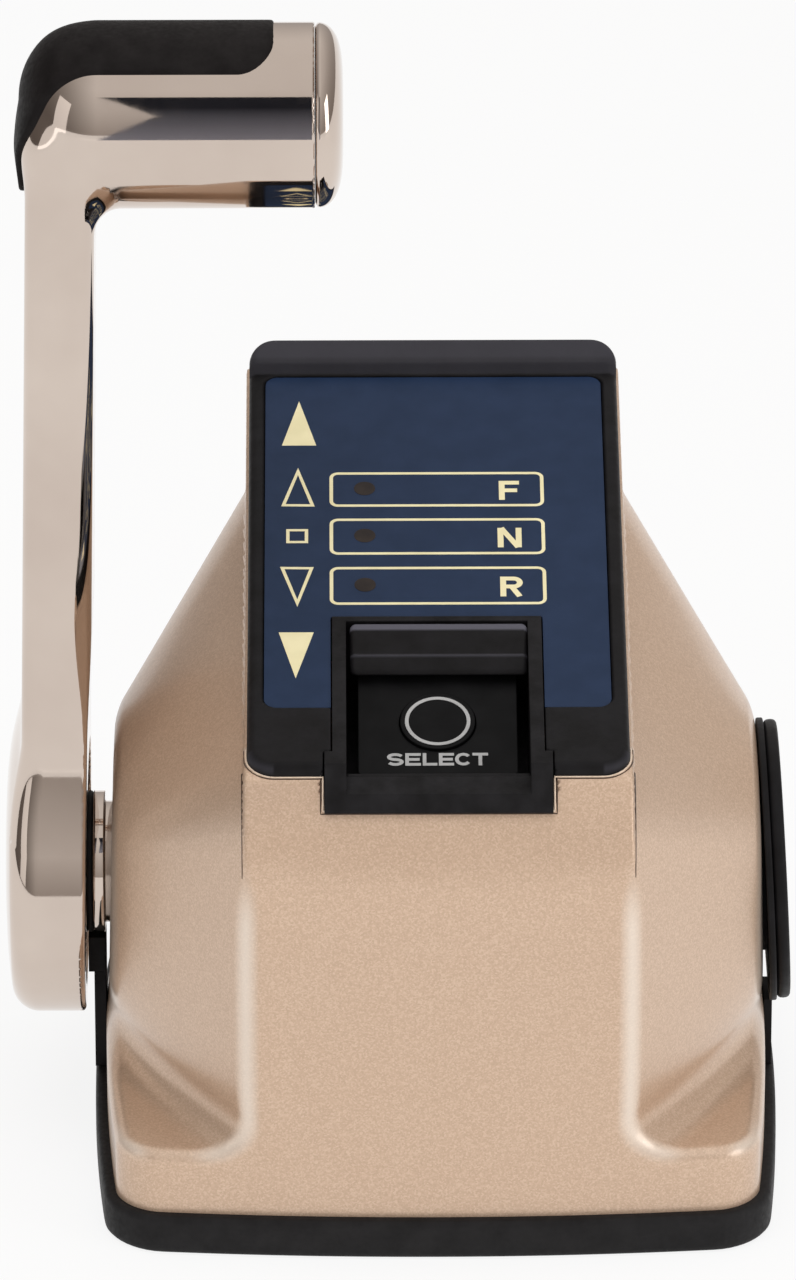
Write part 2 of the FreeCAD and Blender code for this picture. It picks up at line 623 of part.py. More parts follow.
def cover_shape():
    """Open shell with a bolt boss at each cover screw and its openings cut."""
    wall = size("cover_wall")
    outside = cover_block(0)
    shell = outside.cut(cover_block(wall))
    low = size("gasket_height")
    bosses = []
    for x, y in places(("boss_across", "boss_along")):
        boss = Part.makeCylinder(size("boss_radius"), size("panel_level"), Vector(x, y, low))
        hole = Part.makeCylinder(size("screw_radius"), size("boss_hole"), Vector(x, y, low))
        bosses.append(boss.cut(hole).common(outside))
    shell = shell.fuse(bosses)
    gap = size("running_gap")
    reach = size("cover_half_width")
    neck = disc_along_x(size("collar_neck") + gap, -reach - wall, 3 * wall)
    spigot = disc_along_x(size("cap_spigot") + gap, reach - 2 * wall, 3 * wall)
    tilt = Rotation(Vector(1, 0, 0), size("panel_tilt"))
    start = size("bezel_start") + size("bezel_corner")
    across = size("bezel_width") - 2 * size("bezel_corner")
    depth = 2 * size("board_drop")
    window = Part.makeBox(across, size("bezel_length") - 2 * size("bezel_corner"), depth,
                          Vector(-across / 2, start, -depth))
    room = Part.makeBox(size("tub_width") + 2 * gap, start, size("tub_depth") + gap,
                        Vector(-size("tub_width") / 2 - gap, 0, -size("tub_depth") - gap))
    for tool in (window, room):
        tool.Placement = Placement(Vector(0, -size("panel_front"), size("panel_level")), tilt)
    notch = tab_block(size("tab_width") / 2 + gap, 2 * wall + gap, gap)
    return shell.cut([neck, spigot, window, room, notch]).Solids[0]


def places(names):
    """Four places in a rectangle about the origin."""
    x, y = (size(name) for name in names)
    return [(-x, -y), (x, -y), (-x, y), (x, y)]


def tab_block(half, deep, gap=0):
    """Curved tab over the front of the cover: a sector about the lever axis under the panel."""
    outer = size("drum_radius") + size("tab_proud") + gap
    ring = disc_along_x(outer, -half, 2 * half)
    ring = ring.cut(disc_along_x(size("drum_radius") - deep, -half, 2 * half))
    low = math.asin((size("tab_low") - gap) / outer)
    tilt = math.radians(size("panel_tilt"))
    slope = math.tan(tilt)
    rise = size("panel_level") - size("axis_height") + size("panel_front") * slope
    forward = rise / (math.tan(low) + slope)
    axis = Vector(0, 0, size("axis_height"))
    lower = axis + Vector(0, -forward, forward * math.tan(low))
    behind = size("bezel_start") + size("bezel_round")
    upper = Vector(0, -size("panel_front") + behind * math.cos(tilt),
                   size("panel_level") + behind * math.sin(tilt))
    wedge = Part.Face(Part.makePolygon([axis, lower, upper, axis])).extrude(Vector(2 * half, 0, 0))
    wedge.translate(Vector(-half, 0, 0))
    return ring.common(wedge)


# Housing and base

def make_gasket():
    outer = base_prism(size("gasket_lip"), 0, size("gasket_height"))
    seat = base_prism(-size("plate_inset"), size("gasket_web"), size("gasket_height"))
    pad_shape = outer.cut(seat)
    holes = []
    for x, y in places(("insert_across", "insert_along")):
        holes.append(Part.makeCylinder(size("insert_radius"), size("gasket_web"), Vector(x, y, 0)))
    outlet = size("outlet_radius") + size("grommet_wall")
    holes.append(Part.makeCylinder(outlet, size("gasket_web"), Vector(0, size("outlet_rear"), 0)))
    return solid("base_gasket", pad_shape.cut(holes))


def make_base_plate():
    slab = base_prism(-size("plate_inset"), size("gasket_web"), size("gasket_height"))
    low = size("gasket_web")
    high = size("gasket_height") - low
    holes = []
    for x, y in places(("insert_across", "insert_along")):
        holes.append(Part.makeCylinder(size("insert_radius"), high, Vector(x, y, low)))
    for names in (("boss_across", "boss_along"), ("foot_across", "foot_along")):
        for x, y in places(names):
            holes.append(Part.makeCylinder(size("screw_radius"), high, Vector(x, y, low)))
            head = Part.makeCylinder(size("screw_head"), size("head_height"), Vector(x, y, low))
            holes.append(head)
    outlet = size("outlet_radius") + size("grommet_wall")
    holes.append(Part.makeCylinder(outlet, high, Vector(0, size("outlet_rear"), low)))
    bore = size("adjuster_radius")
    middle = size("drum_place") + size("brake_width") / 2
    holes.append(Part.makeCylinder(bore, high, Vector(middle, 0, low)))
    return solid("base_plate", slab.cut(holes))


def make_inserts():
    bushes = []
    for number, (x, y) in enumerate((("-", "-"), ("", "-"), ("-", ""), ("", ""))):
        at = (f"{x}insert_across", f"{y}insert_along", "insert_mouth")
        sleeve = rod(f"insert_sleeve_{number}", "insert_radius", "insert_length", at)
        bore = rod(f"insert_bore_{number}", "insert_bore", "insert_length - insert_cap", at)
        bushes.append(cut(f"insert_{number}", sleeve, bore))
    return group("threaded_inserts", bushes)


def make_screws(name, across, along, low, length):
    """Four screws from below, heads down."""
    screws = []
    for number, (x, y) in enumerate((("-", "-"), ("", "-"), ("-", ""), ("", ""))):
        at = (f"{x}{across}", f"{y}{along}", low)
        head = rod(f"{name}_head_{number}", "screw_head", "head_height", at)
        shank = rod(f"{name}_shank_{number}", "screw_radius", length, at)
        whole = join(f"{name}_whole_{number}", [head, shank])
        socket = doc.addObject("Part::Prism", f"{name}_socket_{number}")
        socket.Polygon = 6
        tie(socket, "Circumradius", "socket_radius")
        tie(socket, "Height", "socket_depth")
        put(socket, at)
        screws.append(cut(f"{name}_{number}", whole, socket))
    return group(name, screws)


def make_grommet():
    at = ("0", "outlet_rear", "insert_mouth")
    height = "gasket_height + grommet_wall - insert_mouth"
    sleeve = rod("grommet_sleeve", "outlet_radius + grommet_wall", height, at)
    flange = rod("grommet_flange", "outlet_radius + 2 * grommet_wall", "grommet_wall",
                 ("0", "outlet_rear", "gasket_height"))
    bore = rod("grommet_bore", "outlet_radius", f"{height} + grommet_wall", at)
    return cut("harness_grommet", join("grommet_body", [sleeve, flange]), bore)


# Chassis frame, bearings and everything fixed inside

STOP_ANGLE = "(lever_range + stop_spare) * 1deg + asin((lug_half + stop_radius) / stop_circle)"
STOP_Y = f"stop_circle * sin({STOP_ANGLE})"
STOP_Z = f"axis_height + stop_circle * cos({STOP_ANGLE})"


def make_frame():
    floor = box("frame_floor_slab",
                ("2 * (cheek_place + cheek_thick)", "frame_depth", "frame_floor"),
                ("-cheek_place - cheek_thick", "-frame_depth / 2", "gasket_height"))
    pieces = [floor]
    bores = []
    for label, left in (("left", "-cheek_place - cheek_thick"), ("right", "cheek_place")):
        pieces.append(box(f"frame_cheek_{label}",
                          ("cheek_thick", "2 * cheek_radius", "axis_height - gasket_height"),
                          (left, "-cheek_radius", "gasket_height")))
        pieces.append(rod(f"frame_eye_{label}", "cheek_radius", "cheek_thick",
                          (left, "0", "axis_height"), "X"))
        bores.append(rod(f"frame_bore_{label}", "bearing_radius", "cheek_thick",
                         (left, "0", "axis_height"), "X"))
    for number, (x, y) in enumerate((("-", "-"), ("", "-"), ("-", ""), ("", ""))):
        bores.append(rod(f"frame_tap_{number}", "screw_radius", "frame_floor",
                         (f"{x}foot_across", f"{y}foot_along", "gasket_height")))
    outlet = rod("frame_outlet", "outlet_radius + 2 * grommet_wall", "frame_floor",
                 ("0", "outlet_rear", "gasket_height"))
    adjuster = ("drum_place + brake_width / 2", "0", "gasket_height")
    boss = rod("frame_adjuster_boss", "adjuster_boss", "adjuster_top - gasket_height", adjuster)
    tap = rod("frame_adjuster_tap", "adjuster_radius", "adjuster_top - gasket_height", adjuster)
    pins = []
    for label, sign in (("front", "-"), ("rear", "")):
        at = ("-cheek_place - cheek_thick", sign + STOP_Y, STOP_Z)
        pins.append(rod(f"frame_pin_hole_{label}", "stop_radius", "cheek_thick", at, "X"))
        pieces.append(rod(f"frame_pin_boss_{label}", "2 * stop_radius", "cheek_thick", at, "X"))
        pieces.append(box(f"frame_pin_web_{label}",
                          ("cheek_thick", "4 * stop_radius", "axis_height - gasket_height"),
                          (at[0], f"{sign}{STOP_Y} - 2 * stop_radius", "gasket_height")))
    pieces.append(rod("frame_sensor_eye", "sensor_radius", "cheek_thick",
                      ("cheek_place", "sensor_y", "sensor_z"), "X"))
    pieces.append(box("frame_sensor_web",
                      ("cheek_thick", "2 * sensor_radius", "sensor_z - axis_height + cheek_radius"),
                      ("cheek_place", "sensor_y - sensor_radius", "axis_height - cheek_radius")))
    whole = join("frame_whole", pieces + [boss])
    return cut("chassis_frame", whole, join("frame_cuts", bores + pins + [outlet, tap]))


def make_stop_pins():
    pins = []
    for label, sign in (("front", "-"), ("rear", "")):
        pins.append(rod(f"stop_pin_{label}", "stop_radius", "cheek_thick + stop_pin_out",
                        ("-cheek_place - cheek_thick", sign + STOP_Y, STOP_Z), "X"))
    return group("stop_pins", pins)


def make_bearing(name, left, flange_left):
    bush = rod(f"{name}_bush", "bearing_radius", "cheek_thick", (left, "0", "axis_height"), "X")
    flange = rod(f"{name}_flange", "bearing_flange", "flange_thick",
                 (flange_left, "0", "axis_height"), "X")
    bore = rod(f"{name}_bore", "shaft_radius + shaft_gap", "cheek_thick + 2 * flange_thick",
               (f"{left} - flange_thick", "0", "axis_height"), "X")
    return cut(name, join(f"{name}_body", [bush, flange]), bore)


def make_collar():
    start = "-collar_start"
    face = rod("collar_face", "collar_radius", "collar_start - collar_seat",
               (start, "0", "axis_height"), "X")
    neck = rod("collar_neck_rod", "collar_neck", "collar_start - collar_inside",
               (start, "0", "axis_height"), "X")
    bore = rod("collar_bore", "shaft_radius + running_gap", "collar_start",
               ("-collar_start", "0", "axis_height"), "X")
    outer = rod("collar_groove_outer", "collar_radius", "seal_width",
                ("-seal_place - seal_width / 2", "0", "axis_height"), "X")
    core = rod("collar_groove_core", "collar_radius - seal_width", "seal_width",
               ("-seal_place - seal_width / 2", "0", "axis_height"), "X")
    groove = cut("collar_groove", outer, core)
    whole = join("collar_whole", [face, neck])
    return cut("shaft_collar", whole, join("collar_cuts", [bore, groove]))


def make_seal():
    ring = doc.addObject("Part::Torus", "seal_ring")
    tie(ring, "Radius1", "collar_radius - seal_width / 2")
    tie(ring, "Radius2", "seal_width / 2")
    ring.Placement = Placement(Vector(), TURNS["X"])
    put(ring, ("-seal_place", "0", "axis_height"))
    return group("collar_seal", [ring])


def leaning(name, pieces):
    """Pieces built upright at X = 0 on the axis line, then leaned with the cover's side."""
    held = group(name, pieces) if len(pieces) == 1 else join(name, pieces)
    held.Placement = Placement(Vector(), Rotation(Vector(0, -1, 0), size("cap_lean")))
    tie(held, "Placement.Rotation.Angle", "cap_lean")
    return put(held, ("disc_reach + cap_stand", "0", "axis_height"))


def make_side_cap():
    ring = rod("ring_rod", "cap_radius", "cap_ring", ("0", "0", "0"), "X")
    hole = rod("ring_hole", "cap_spigot + shaft_gap", "cap_ring", ("0", "0", "0"), "X")
    leaning("side_cap_ring", [cut("ring_cut", ring, hole)])
    face = rod("cap_face", "cap_radius - cap_step", "cap_thick", ("cap_ring", "0", "0"), "X")
    rounded = doc.addObject("Part::Fillet", "cap_rounded")
    rounded.Base = face
    doc.recompute()
    outer = size("cap_ring") + size("cap_thick") - TINY
    rounded.Edges = [(number, size("cap_edge"), size("cap_edge"))
                     for number, edge in enumerate(face.Shape.Edges, 1)
                     if is_circle(edge) and edge.CenterOfMass.x > outer]
    spigot = rod("cap_spigot_rod", "cap_spigot", "cap_ring + cap_reach", ("-cap_reach", "0", "0"), "X")
    leaning("side_cap", [join("cap_body", [rounded, spigot])])


def is_circle(edge):
    return edge.Curve.TypeId == "Part::GeomCircle"


def make_side_trim():
    """Neck on each side, and above the left one the small rubber boot under the collar."""
    box("side_neck_right", ("neck_right_thick", "2 * neck_half", "neck_top - gasket_height"),
        ("cover_half_width", "-neck_half", "gasket_height"))
    box("side_neck_left", ("neck_thick", "2 * neck_half", "boot_low - gasket_height"),
        ("-cover_half_width - neck_thick", "-neck_half", "gasket_height"))
    box("neck_boot", ("boot_thick", "2 * neck_half", "boot_high - boot_low"),
        ("-cover_half_width - boot_thick", "-neck_half", "boot_low"))


# Indicator panel

def make_bezel():
    start = "bezel_start"
    body = doc.addObject("PartDesign::Body", "bezel_body")
    outline = rounded_sketch(body, "bezel_outline", "bezel_width", "bezel_length",
                             "bezel_corner", start, "-bezel_thick")
    slab = pad(body, outline, "bezel_pad", "bezel_thick")
    doc.recompute()
    top = [f"Edge{number}" for number, edge in enumerate(slab.Shape.Edges, 1)
           if edge.BoundBox.ZMin > -TINY]
    rounding = body.newObject("PartDesign::Fillet", "bezel_rounding")
    rounding.Base = (slab, top)
    tie(rounding, "Radius", "bezel_round")
    hood = rounded_sketch(body, "hood_outline", "bezel_width - 2 * hood_edge",
                          "hood_length", "hood_corner",
                          "bezel_start + bezel_length - hood_length - hood_edge",
                          "-2 * bezel_round")
    raised = pad(body, hood, "hood_pad", "hood_rise + 2 * bezel_round")
    doc.recompute()
    lip = [f"Edge{number}" for number, edge in enumerate(raised.Shape.Edges, 1)
           if edge.BoundBox.ZMin > size("hood_rise") - TINY]
    slant = body.newObject("PartDesign::Chamfer", "hood_slant")
    slant.Base = (raised, lip)
    tie(slant, "Size", "hood_slant")
    seat = rounded_sketch(body, "overlay_seat", "overlay_width + 2 * running_gap",
                          "overlay_length + 2 * running_gap", "overlay_corner",
                          "overlay_start - running_gap", "-overlay_sink")
    pocket(body, seat, "overlay_pocket", "overlay_sink")
    opening = rounded_sketch(body, "tub_opening", "tub_width + 2 * running_gap",
                             "tub_end + running_gap", "running_gap", "0", "-bezel_thick")
    pocket(body, opening, "tub_pocket", "2 * bezel_thick")
    onto_panel(body)
    pipes = onto_panel(join("pipe_holes", lamp_rods("pipe_hole", "lamp_radius + shaft_gap",
                                                    "bezel_thick", "-bezel_thick")))
    gap = size("running_gap")
    tab = solid("tab_room", tab_block(size("tab_width") / 2 + gap, size("tab_thick"), gap))
    return cut("panel_bezel", body, join("bezel_cuts", [pipes, tab]))


def lamp_rods(name, radius, length, low):
    rods = []
    for number in range(3):
        rods.append(rod(f"{name}_{number}", radius, length,
                        ("-lamp_column", f"lamp_first + {number} * lamp_pitch", low)))
    return rods


def make_overlay():
    body = plate("overlay_sheet", "overlay_width", "overlay_length", "overlay_corner",
                 "overlay_start", "-overlay_sink", "overlay_thick")
    notch = rounded_sketch(body, "overlay_notch", "tub_width + 2 * running_gap",
                           "tub_end + running_gap", "running_gap", "0", "-overlay_sink")
    pocket(body, notch, "overlay_notch_cut", "overlay_thick")
    return onto_panel(group("panel_overlay", [body]))


def make_tub():
    """Recess for the select key, open at the front, with the tab over the cover."""
    outside = box("tub_outside", ("tub_width", "tub_end - bezel_start", "tub_depth"),
                  ("-tub_width / 2", "bezel_start", "-tub_depth"))
    inside = box("tub_inside_space",
                 ("tub_inside", "tub_end - tub_back", "tub_depth"),
                 ("-tub_inside / 2", "0", "tub_floor - tub_depth"))
    tub = onto_panel(cut("tub_walls", outside, inside))
    tab = solid("tab_block", tab_block(size("tab_width") / 2, size("tab_thick") - size("tab_proud")))
    room = box("tab_room_box", ("tub_inside", "tub_end", "tub_depth"),
               ("-tub_inside / 2", "-tub_end / 2", "-tab_dip"))
    slot = onto_panel(group("tab_slot", [room]))
    front = cut("tab_cut", tab, slot)
    return join("switch_tub", [tub, front])


def make_key():
    body = plate("key_slab", "key_width", "key_length", "key_corner", "-key_length / 2",
                 "-key_thick", "key_thick")
    hole = rod("key_hole", "key_radius + running_gap", "key_thick", ("0", "0", "-key_thick"))
    onto_key(cut("select_plate", body, hole))
    cap = rod("button_cap", "key_radius", "key_thick + key_raise", ("0", "0", "-key_thick"))
    flange = rod("button_flange", "key_radius + button_lip", "button_lip",
                 ("0", "0", "-key_thick - button_lip - shaft_gap"))
    link = rod("button_link", "key_radius - button_lip", "key_thick",
               ("0", "0", "-key_thick - button_lip"))
    onto_key(join("select_button", [cap, flange, link]))
    under = "-key_thick - button_lip - shaft_gap - key_travel - shaft_gap"
    stem = rod("switch_stem", "lamp_radius", "switch_height", ("0", "0", f"{under} - switch_height"))
    case = box("switch_case", ("4 * lamp_radius", "4 * lamp_radius", "stem_case"),
               ("-2 * lamp_radius", "-2 * lamp_radius", f"{under} - switch_height"))
    onto_key(join("tact_switch", [stem, case]))
    board = box("switch_board_slab", ("key_width", "key_length", "board_thick"),
                ("-key_width / 2", "-key_length / 2", f"{under} - switch_height - board_thick"))
    onto_key(group("switch_board", [board]))


GUARD_LENGTH = "(tub_end - tub_back - guard_start)"


def make_guard():
    bar = box("guard_bar", ("guard_width", GUARD_LENGTH, "guard_thick"),
              ("-guard_width / 2", "guard_start", "-guard_thick"))
    rounded = doc.addObject("Part::Fillet", "guard_rounded")
    rounded.Base = bar
    doc.recompute()
    front = [number for number, edge in enumerate(bar.Shape.Edges, 1)
             if abs(edge.CenterOfMass.y - size("guard_start")) < TINY
             and edge.BoundBox.XLength > size("guard_width") / 2]
    rounded.Edges = [(number, size("guard_round"), size("guard_round")) for number in front]
    ears = []
    for label, x in (("left", "-tub_inside / 2"), ("right", "guard_width / 2")):
        ears.append(box(f"guard_ear_{label}",
                        ("(tub_inside - guard_width) / 2", f"{GUARD_LENGTH} / 2", "ear_thick"),
                        (x, f"guard_start + {GUARD_LENGTH} / 4", "-ear_drop")))
    return onto_panel(join("button_guard", [rounded] + ears))


def make_board():
    body = plate("board_slab", "board_width", "board_length", "bezel_round",
                 "board_start", "-board_drop - board_thick", "board_thick")
    onto_panel(group("control_board", [body]))
    posts = []
    for number, (x, y) in enumerate((("-", "near"), ("", "near"), ("-", "far"), ("", "far"))):
        place = "board_start + post_inset"
        if y == "far":
            place = "board_start + board_length - post_inset"
        posts.append(rod(f"board_post_{number}", "screw_radius", "board_drop - bezel_thick",
                         (f"{x}(board_width / 2 - post_inset)", place, "-board_drop")))
    onto_panel(group("board_posts", posts))
    lamps = lamp_rods("lamp", "lamp_radius - lamp_slim", "lamp_height", "-board_drop")
    onto_panel(group("indicator_lamps", lamps))
    pipes = lamp_rods("pipe", "lamp_radius", "board_drop - lamp_height - overlay_sink - shaft_gap",
                      "-board_drop + lamp_height + shaft_gap")
    onto_panel(group("light_pipes", pipes))
    chip = box("main_chip", ("board_width / 4", "board_width / 4", "board_thick"),
               ("0", "lamp_first", "-board_drop - 2 * board_thick"))
    onto_panel(group("main_chips", [chip]))


# Lever and what turns with it

def make_arm():
    axis = size("axis_height")
    hub_depth = size("hub_outer") - size("hub_inner")
    hub = disc_along_x(size("hub_radius"), -size("hub_outer"), hub_depth, 0, axis)
    rim = size("hub_dome")
    outer = [edge for edge in hub.Edges
             if is_circle(edge) and edge.CenterOfMass.x < -size("hub_inner") - rim]
    hub = hub.makeFillet(rim, outer)
    top = size("grip_height") + axis
    low_section = rounded_section(size("arm_low_outer"), size("arm_low_half"), axis)
    high_section = rounded_section(size("arm_outer"), size("arm_high_half"), top)
    arm = Part.makeLoft([low_section, high_section], True, True)
    inner = size("hub_inner")
    hub_radius = size("hub_radius")
    flat = Part.makeBox(size("cover_half_width"), 4 * hub_radius, hub_radius + size("arm_clear"),
                        Vector(-inner, -2 * hub_radius, axis - hub_radius))
    arm = arm.cut(flat)
    grip = disc_along_x(size("grip_radius"), -size("arm_outer"),
                        size("arm_outer") - size("grip_seam"), 0, top)
    elbow = [edge for edge in grip.Edges if is_circle(edge) and edge.CenterOfMass.x < -size("arm_inner")]
    grip = grip.makeFillet(size("elbow_round"), elbow)
    hollow = disc_along_x(size("grip_radius") - size("grip_wall") - size("pad_depth"),
                          -size("arm_inner"), size("arm_inner"), 0, top)
    recess = disc_along_x(size("collar_radius") + size("recess_spare"), -inner - size("recess_depth"),
                          size("recess_depth"))
    groove = disc_along_x(size("boot_clear"), -inner - size("recess_depth"), size("recess_depth"))
    bore = disc_along_x(size("shaft_radius"), -inner - size("shaft_grip"), size("shaft_grip"))
    thread = Part.makeCylinder(size("set_radius"), hub_radius,
                               Vector(-inner - size("shaft_grip") / 2, 0, axis - hub_radius))
    lever = arm.fuse([hub, grip]).cut([hollow, recess, groove, bore, thread])
    lever = lever.cut([pad_block(0), trim_block(2 * size("trim_deep"))])
    return solid("lever_arm", lever.Solids[0])


def rounded_section(outer, half, level):
    """Level rounded rectangle from the arm's inner face to outer, twice half in Y."""
    radius = size("arm_round")
    x, y = (outer - size("arm_inner")) / 2, half
    at = Vector(-(outer + size("arm_inner")) / 2, 0, level)
    edges = []
    corners = [(x, -y, 0), (x, y, 90), (-x, y, 180), (-x, -y, 270)]
    last = None
    for cx, cy, turn in corners:
        centre = at + Vector(math.copysign(abs(cx) - radius, cx),
                             math.copysign(abs(cy) - radius, cy), 0)
        points = []
        for share in (-90, -45, 0):
            angle = math.radians(turn + share)
            points.append(centre + Vector(math.cos(angle), math.sin(angle), 0) * radius)
        if last:
            edges.append(Part.makeLine(last, points[0]))
        else:
            first = points[0]
        edges.append(Part.Arc(*points).toShape())
        last = points[2]
    edges.append(Part.makeLine(last, first))
    return Part.Wire(edges)


def pad_block(proud):
    """Rubber inlay along the top of the grip."""
    axis = size("axis_height") + size("grip_height")
    outer = size("grip_radius") + proud
    inner = size("grip_radius") - size("pad_depth")
    length = size("arm_inner") - size("pad_end")
    ring = disc_along_x(outer, -size("arm_inner"), length, 0, axis)
    ring = ring.cut(disc_along_x(inner, -size("arm_inner"), length, 0, axis))
    start = math.radians(size("pad_from"))
    end = math.radians(size("pad_to"))
    centre = Vector(-size("arm_inner"), 0, axis)
    fan = [centre]
    for share in THIRDS:
        angle = start + (end - start) * share
        fan.append(centre + Vector(0, -math.cos(angle), math.sin(angle)) * outer * 2)
    wedge = Part.Face(Part.makePolygon(fan + fan[:1])).extrude(Vector(length, 0, 0))
    return ring.common(wedge)


def trim_block(deep):
    """Seat of the trim switch on the far side of the elbow."""
    length = size("arm_outer") - size("trim_right") - size("trim_left_in")
    return Part.makeBox(length, deep, size("trim_tall"),
                        Vector(-size("arm_outer") + size("trim_left_in"), size("trim_face"),
                               size("axis_height") + size("trim_low")))


def make_lever_parts():
    solid("grip_pad", pad_block(size("pad_proud")))
    top = size("axis_height") + size("grip_height")
    seam = -size("grip_seam")
    cap = disc_along_x(size("grip_radius"), seam, size("grip_seam") - size("grip_end"), 0, top)
    edge = [edge for edge in cap.Edges if is_circle(edge) and edge.CenterOfMass.x > seam + TINY]
    cap = cap.makeFillet(size("tip_round"), edge)
    spigot_radius = size("grip_radius") - size("grip_wall") - size("pad_depth")
    spigot = disc_along_x(spigot_radius, seam - size("cap_plug"), size("cap_plug"), 0, top)
    solid("grip_end_cap", cap.fuse(spigot).removeSplitter())
    shaft_left = "-hub_inner - shaft_grip"
    group("main_shaft", [rod("shaft_rod", "shaft_radius", "shaft_end + hub_inner + shaft_grip",
                             (shaft_left, "0", "axis_height"), "X")])
    group("lever_set_screw", [rod("set_screw_rod", "set_radius", "hub_radius - shaft_radius - set_sink",
                                  ("-hub_inner - shaft_grip / 2", "0",
                                   "axis_height - hub_radius + set_sink"))])
    body = trim_block(size("trim_deep"))
    solid("trim_switch_body", body.cut(rocker_pivot(size("rocker_pivot") + size("running_gap"))))
    at = ("shaft_end - clip_inset", "0", "axis_height")
    circlip = rod("clip_outer", "shaft_radius + clip_wide", "clip_thick", at, "X")
    inner = rod("clip_inner", "shaft_radius", "clip_thick", at, "X")
    cut("shaft_circlip", circlip, inner)


def rocker_pivot(radius):
    """Rod on the rocker's hinge line."""
    length = size("arm_outer") - size("trim_right") - size("trim_left_in") - 2 * size("rocker_rim")
    left = -size("arm_outer") + size("trim_left_in") + size("rocker_rim")
    return disc_along_x(radius, left, length, size("trim_face") + size("trim_deep") + size("running_gap"),
                        size("axis_height") + size("trim_low") + size("trim_tall") / 2)


def make_rocker():
    room = size("running_gap")
    face = size("trim_face") + size("trim_deep") + room
    length = size("arm_outer") - size("trim_right") - size("trim_left_in") - 2 * size("rocker_rim")
    low = size("axis_height") + size("trim_low") + size("rocker_rim")
    tall = size("trim_tall") - 2 * size("rocker_rim")
    left = -size("arm_outer") + size("trim_left_in") + size("rocker_rim")
    crown = size("rocker_crown")
    middle = low + tall / 2
    profile = Part.Wire([
        Part.makeLine(Vector(left, face + crown / 3, low), Vector(left, face + crown, low)),
        Part.Arc(Vector(left, face + crown, low), Vector(left, face + crown - size("rocker_dish"), middle),
                 Vector(left, face + crown, low + tall)).toShape(),
        Part.makeLine(Vector(left, face + crown, low + tall), Vector(left, face + crown / 3, low + tall)),
        Part.makeLine(Vector(left, face + crown / 3, low + tall), Vector(left, face, middle)),
        Part.makeLine(Vector(left, face, middle), Vector(left, face + crown / 3, low)),
    ])
    rocker = Part.Face(profile).extrude(Vector(length, 0, 0))
    solid("trim_rocker", rocker.fuse(rocker_pivot(size("rocker_pivot"))).removeSplitter())


def gear_wire(teeth, start_angle, y, z, x):
    """Plain gear outline with straight-sided teeth."""
    module = size("gear_module")
    pitch = teeth * module / 2
    tip = pitch + size("tooth_rise") * module
    root = pitch - size("tooth_root") * module
    wide, slim = size("tooth_foot") * module, size("tooth_tip") * module
    points = []
    for tooth in range(int(teeth)):
        middle = start_angle + 2 * math.pi * tooth / teeth
        for radius, half in ((root, wide), (tip, slim), (tip, -slim), (root, -wide)):
            angle = middle - half / radius
            points.append(Vector(x, y + math.cos(angle) * radius, z + math.sin(angle) * radius))
    return Part.makePolygon(points + points[:1])


def make_gears():
    axis = size("axis_height")
    towards = math.radians(size("pinion_angle"))
    teeth, small = size("gear_teeth"), size("pinion_teeth")
    y, z = size("sensor_y"), size("sensor_z")
    place = size("gear_place")
    width = Vector(size("gear_width"), 0, 0)
    drive = Part.Face(gear_wire(teeth, towards, 0, axis, place)).extrude(width)
    drive = drive.cut(disc_along_x(size("shaft_radius"), place, size("gear_width")))
    solid("drive_gear", drive)
    half = math.pi / small
    pinion = Part.Face(gear_wire(small, towards + math.pi + half, y, z, place)).extrude(width)
    spindle = disc_along_x(size("spindle_radius"), place, size("spindle_length"), y, z)
    solid("sensor_gear", pinion.fuse(spindle).removeSplitter())
    start = place + size("gear_width") + size("running_gap") * 2
    long = size("cheek_place") - start
    case = disc_along_x(size("sensor_radius"), start, long, y, z)
    room = disc_along_x(size("spindle_radius") + size("running_gap"), start, long, y, z)
    solid("sensor_housing", case.cut(room))


def make_detent():
    place = -size("detent_place")
    thick = size("detent_thick")
    axis = size("axis_height")
    disc = disc_along_x(size("detent_radius"), place - thick, thick)
    lug = Part.makeBox(thick, 2 * size("lug_half"), size("lug_reach"),
                       Vector(place - thick, -size("lug_half"), axis))
    disc = disc.fuse(lug).cut(disc_along_x(size("shaft_radius"), place - thick, thick))
    gates = []
    for step in (-1, 0, 1):
        angle = math.radians(-90 + step * size("gate_angle"))
        gates.append(disc_along_x(size("gate_radius"), place - thick, thick,
                                  math.cos(angle) * size("detent_radius"),
                                  axis + math.sin(angle) * size("detent_radius")))
    solid("detent_disc", disc.cut(gates))
    middle = "-detent_place - detent_thick / 2"
    tip = "axis_height - detent_radius - running_gap"
    low = f"{tip} - plunger_length"
    pin = rod("plunger_pin", "plunger_radius", "plunger_length - gate_radius",
              (middle, "0", low))
    ball = doc.addObject("Part::Sphere", "plunger_ball")
    tie(ball, "Radius", "gate_radius")
    put(ball, (middle, "0", f"{tip} - gate_radius"))
    join("detent_plunger", [pin, ball])
    floor = "gasket_height + frame_floor"
    tube = rod("detent_tube", "plunger_radius + detent_wall", "detent_tall", (middle, "0", floor))
    bore = rod("detent_bore", "plunger_radius + running_gap", "detent_tall",
               (middle, "0", f"{floor} + detent_wall"))
    cut("detent_housing", tube, bore)


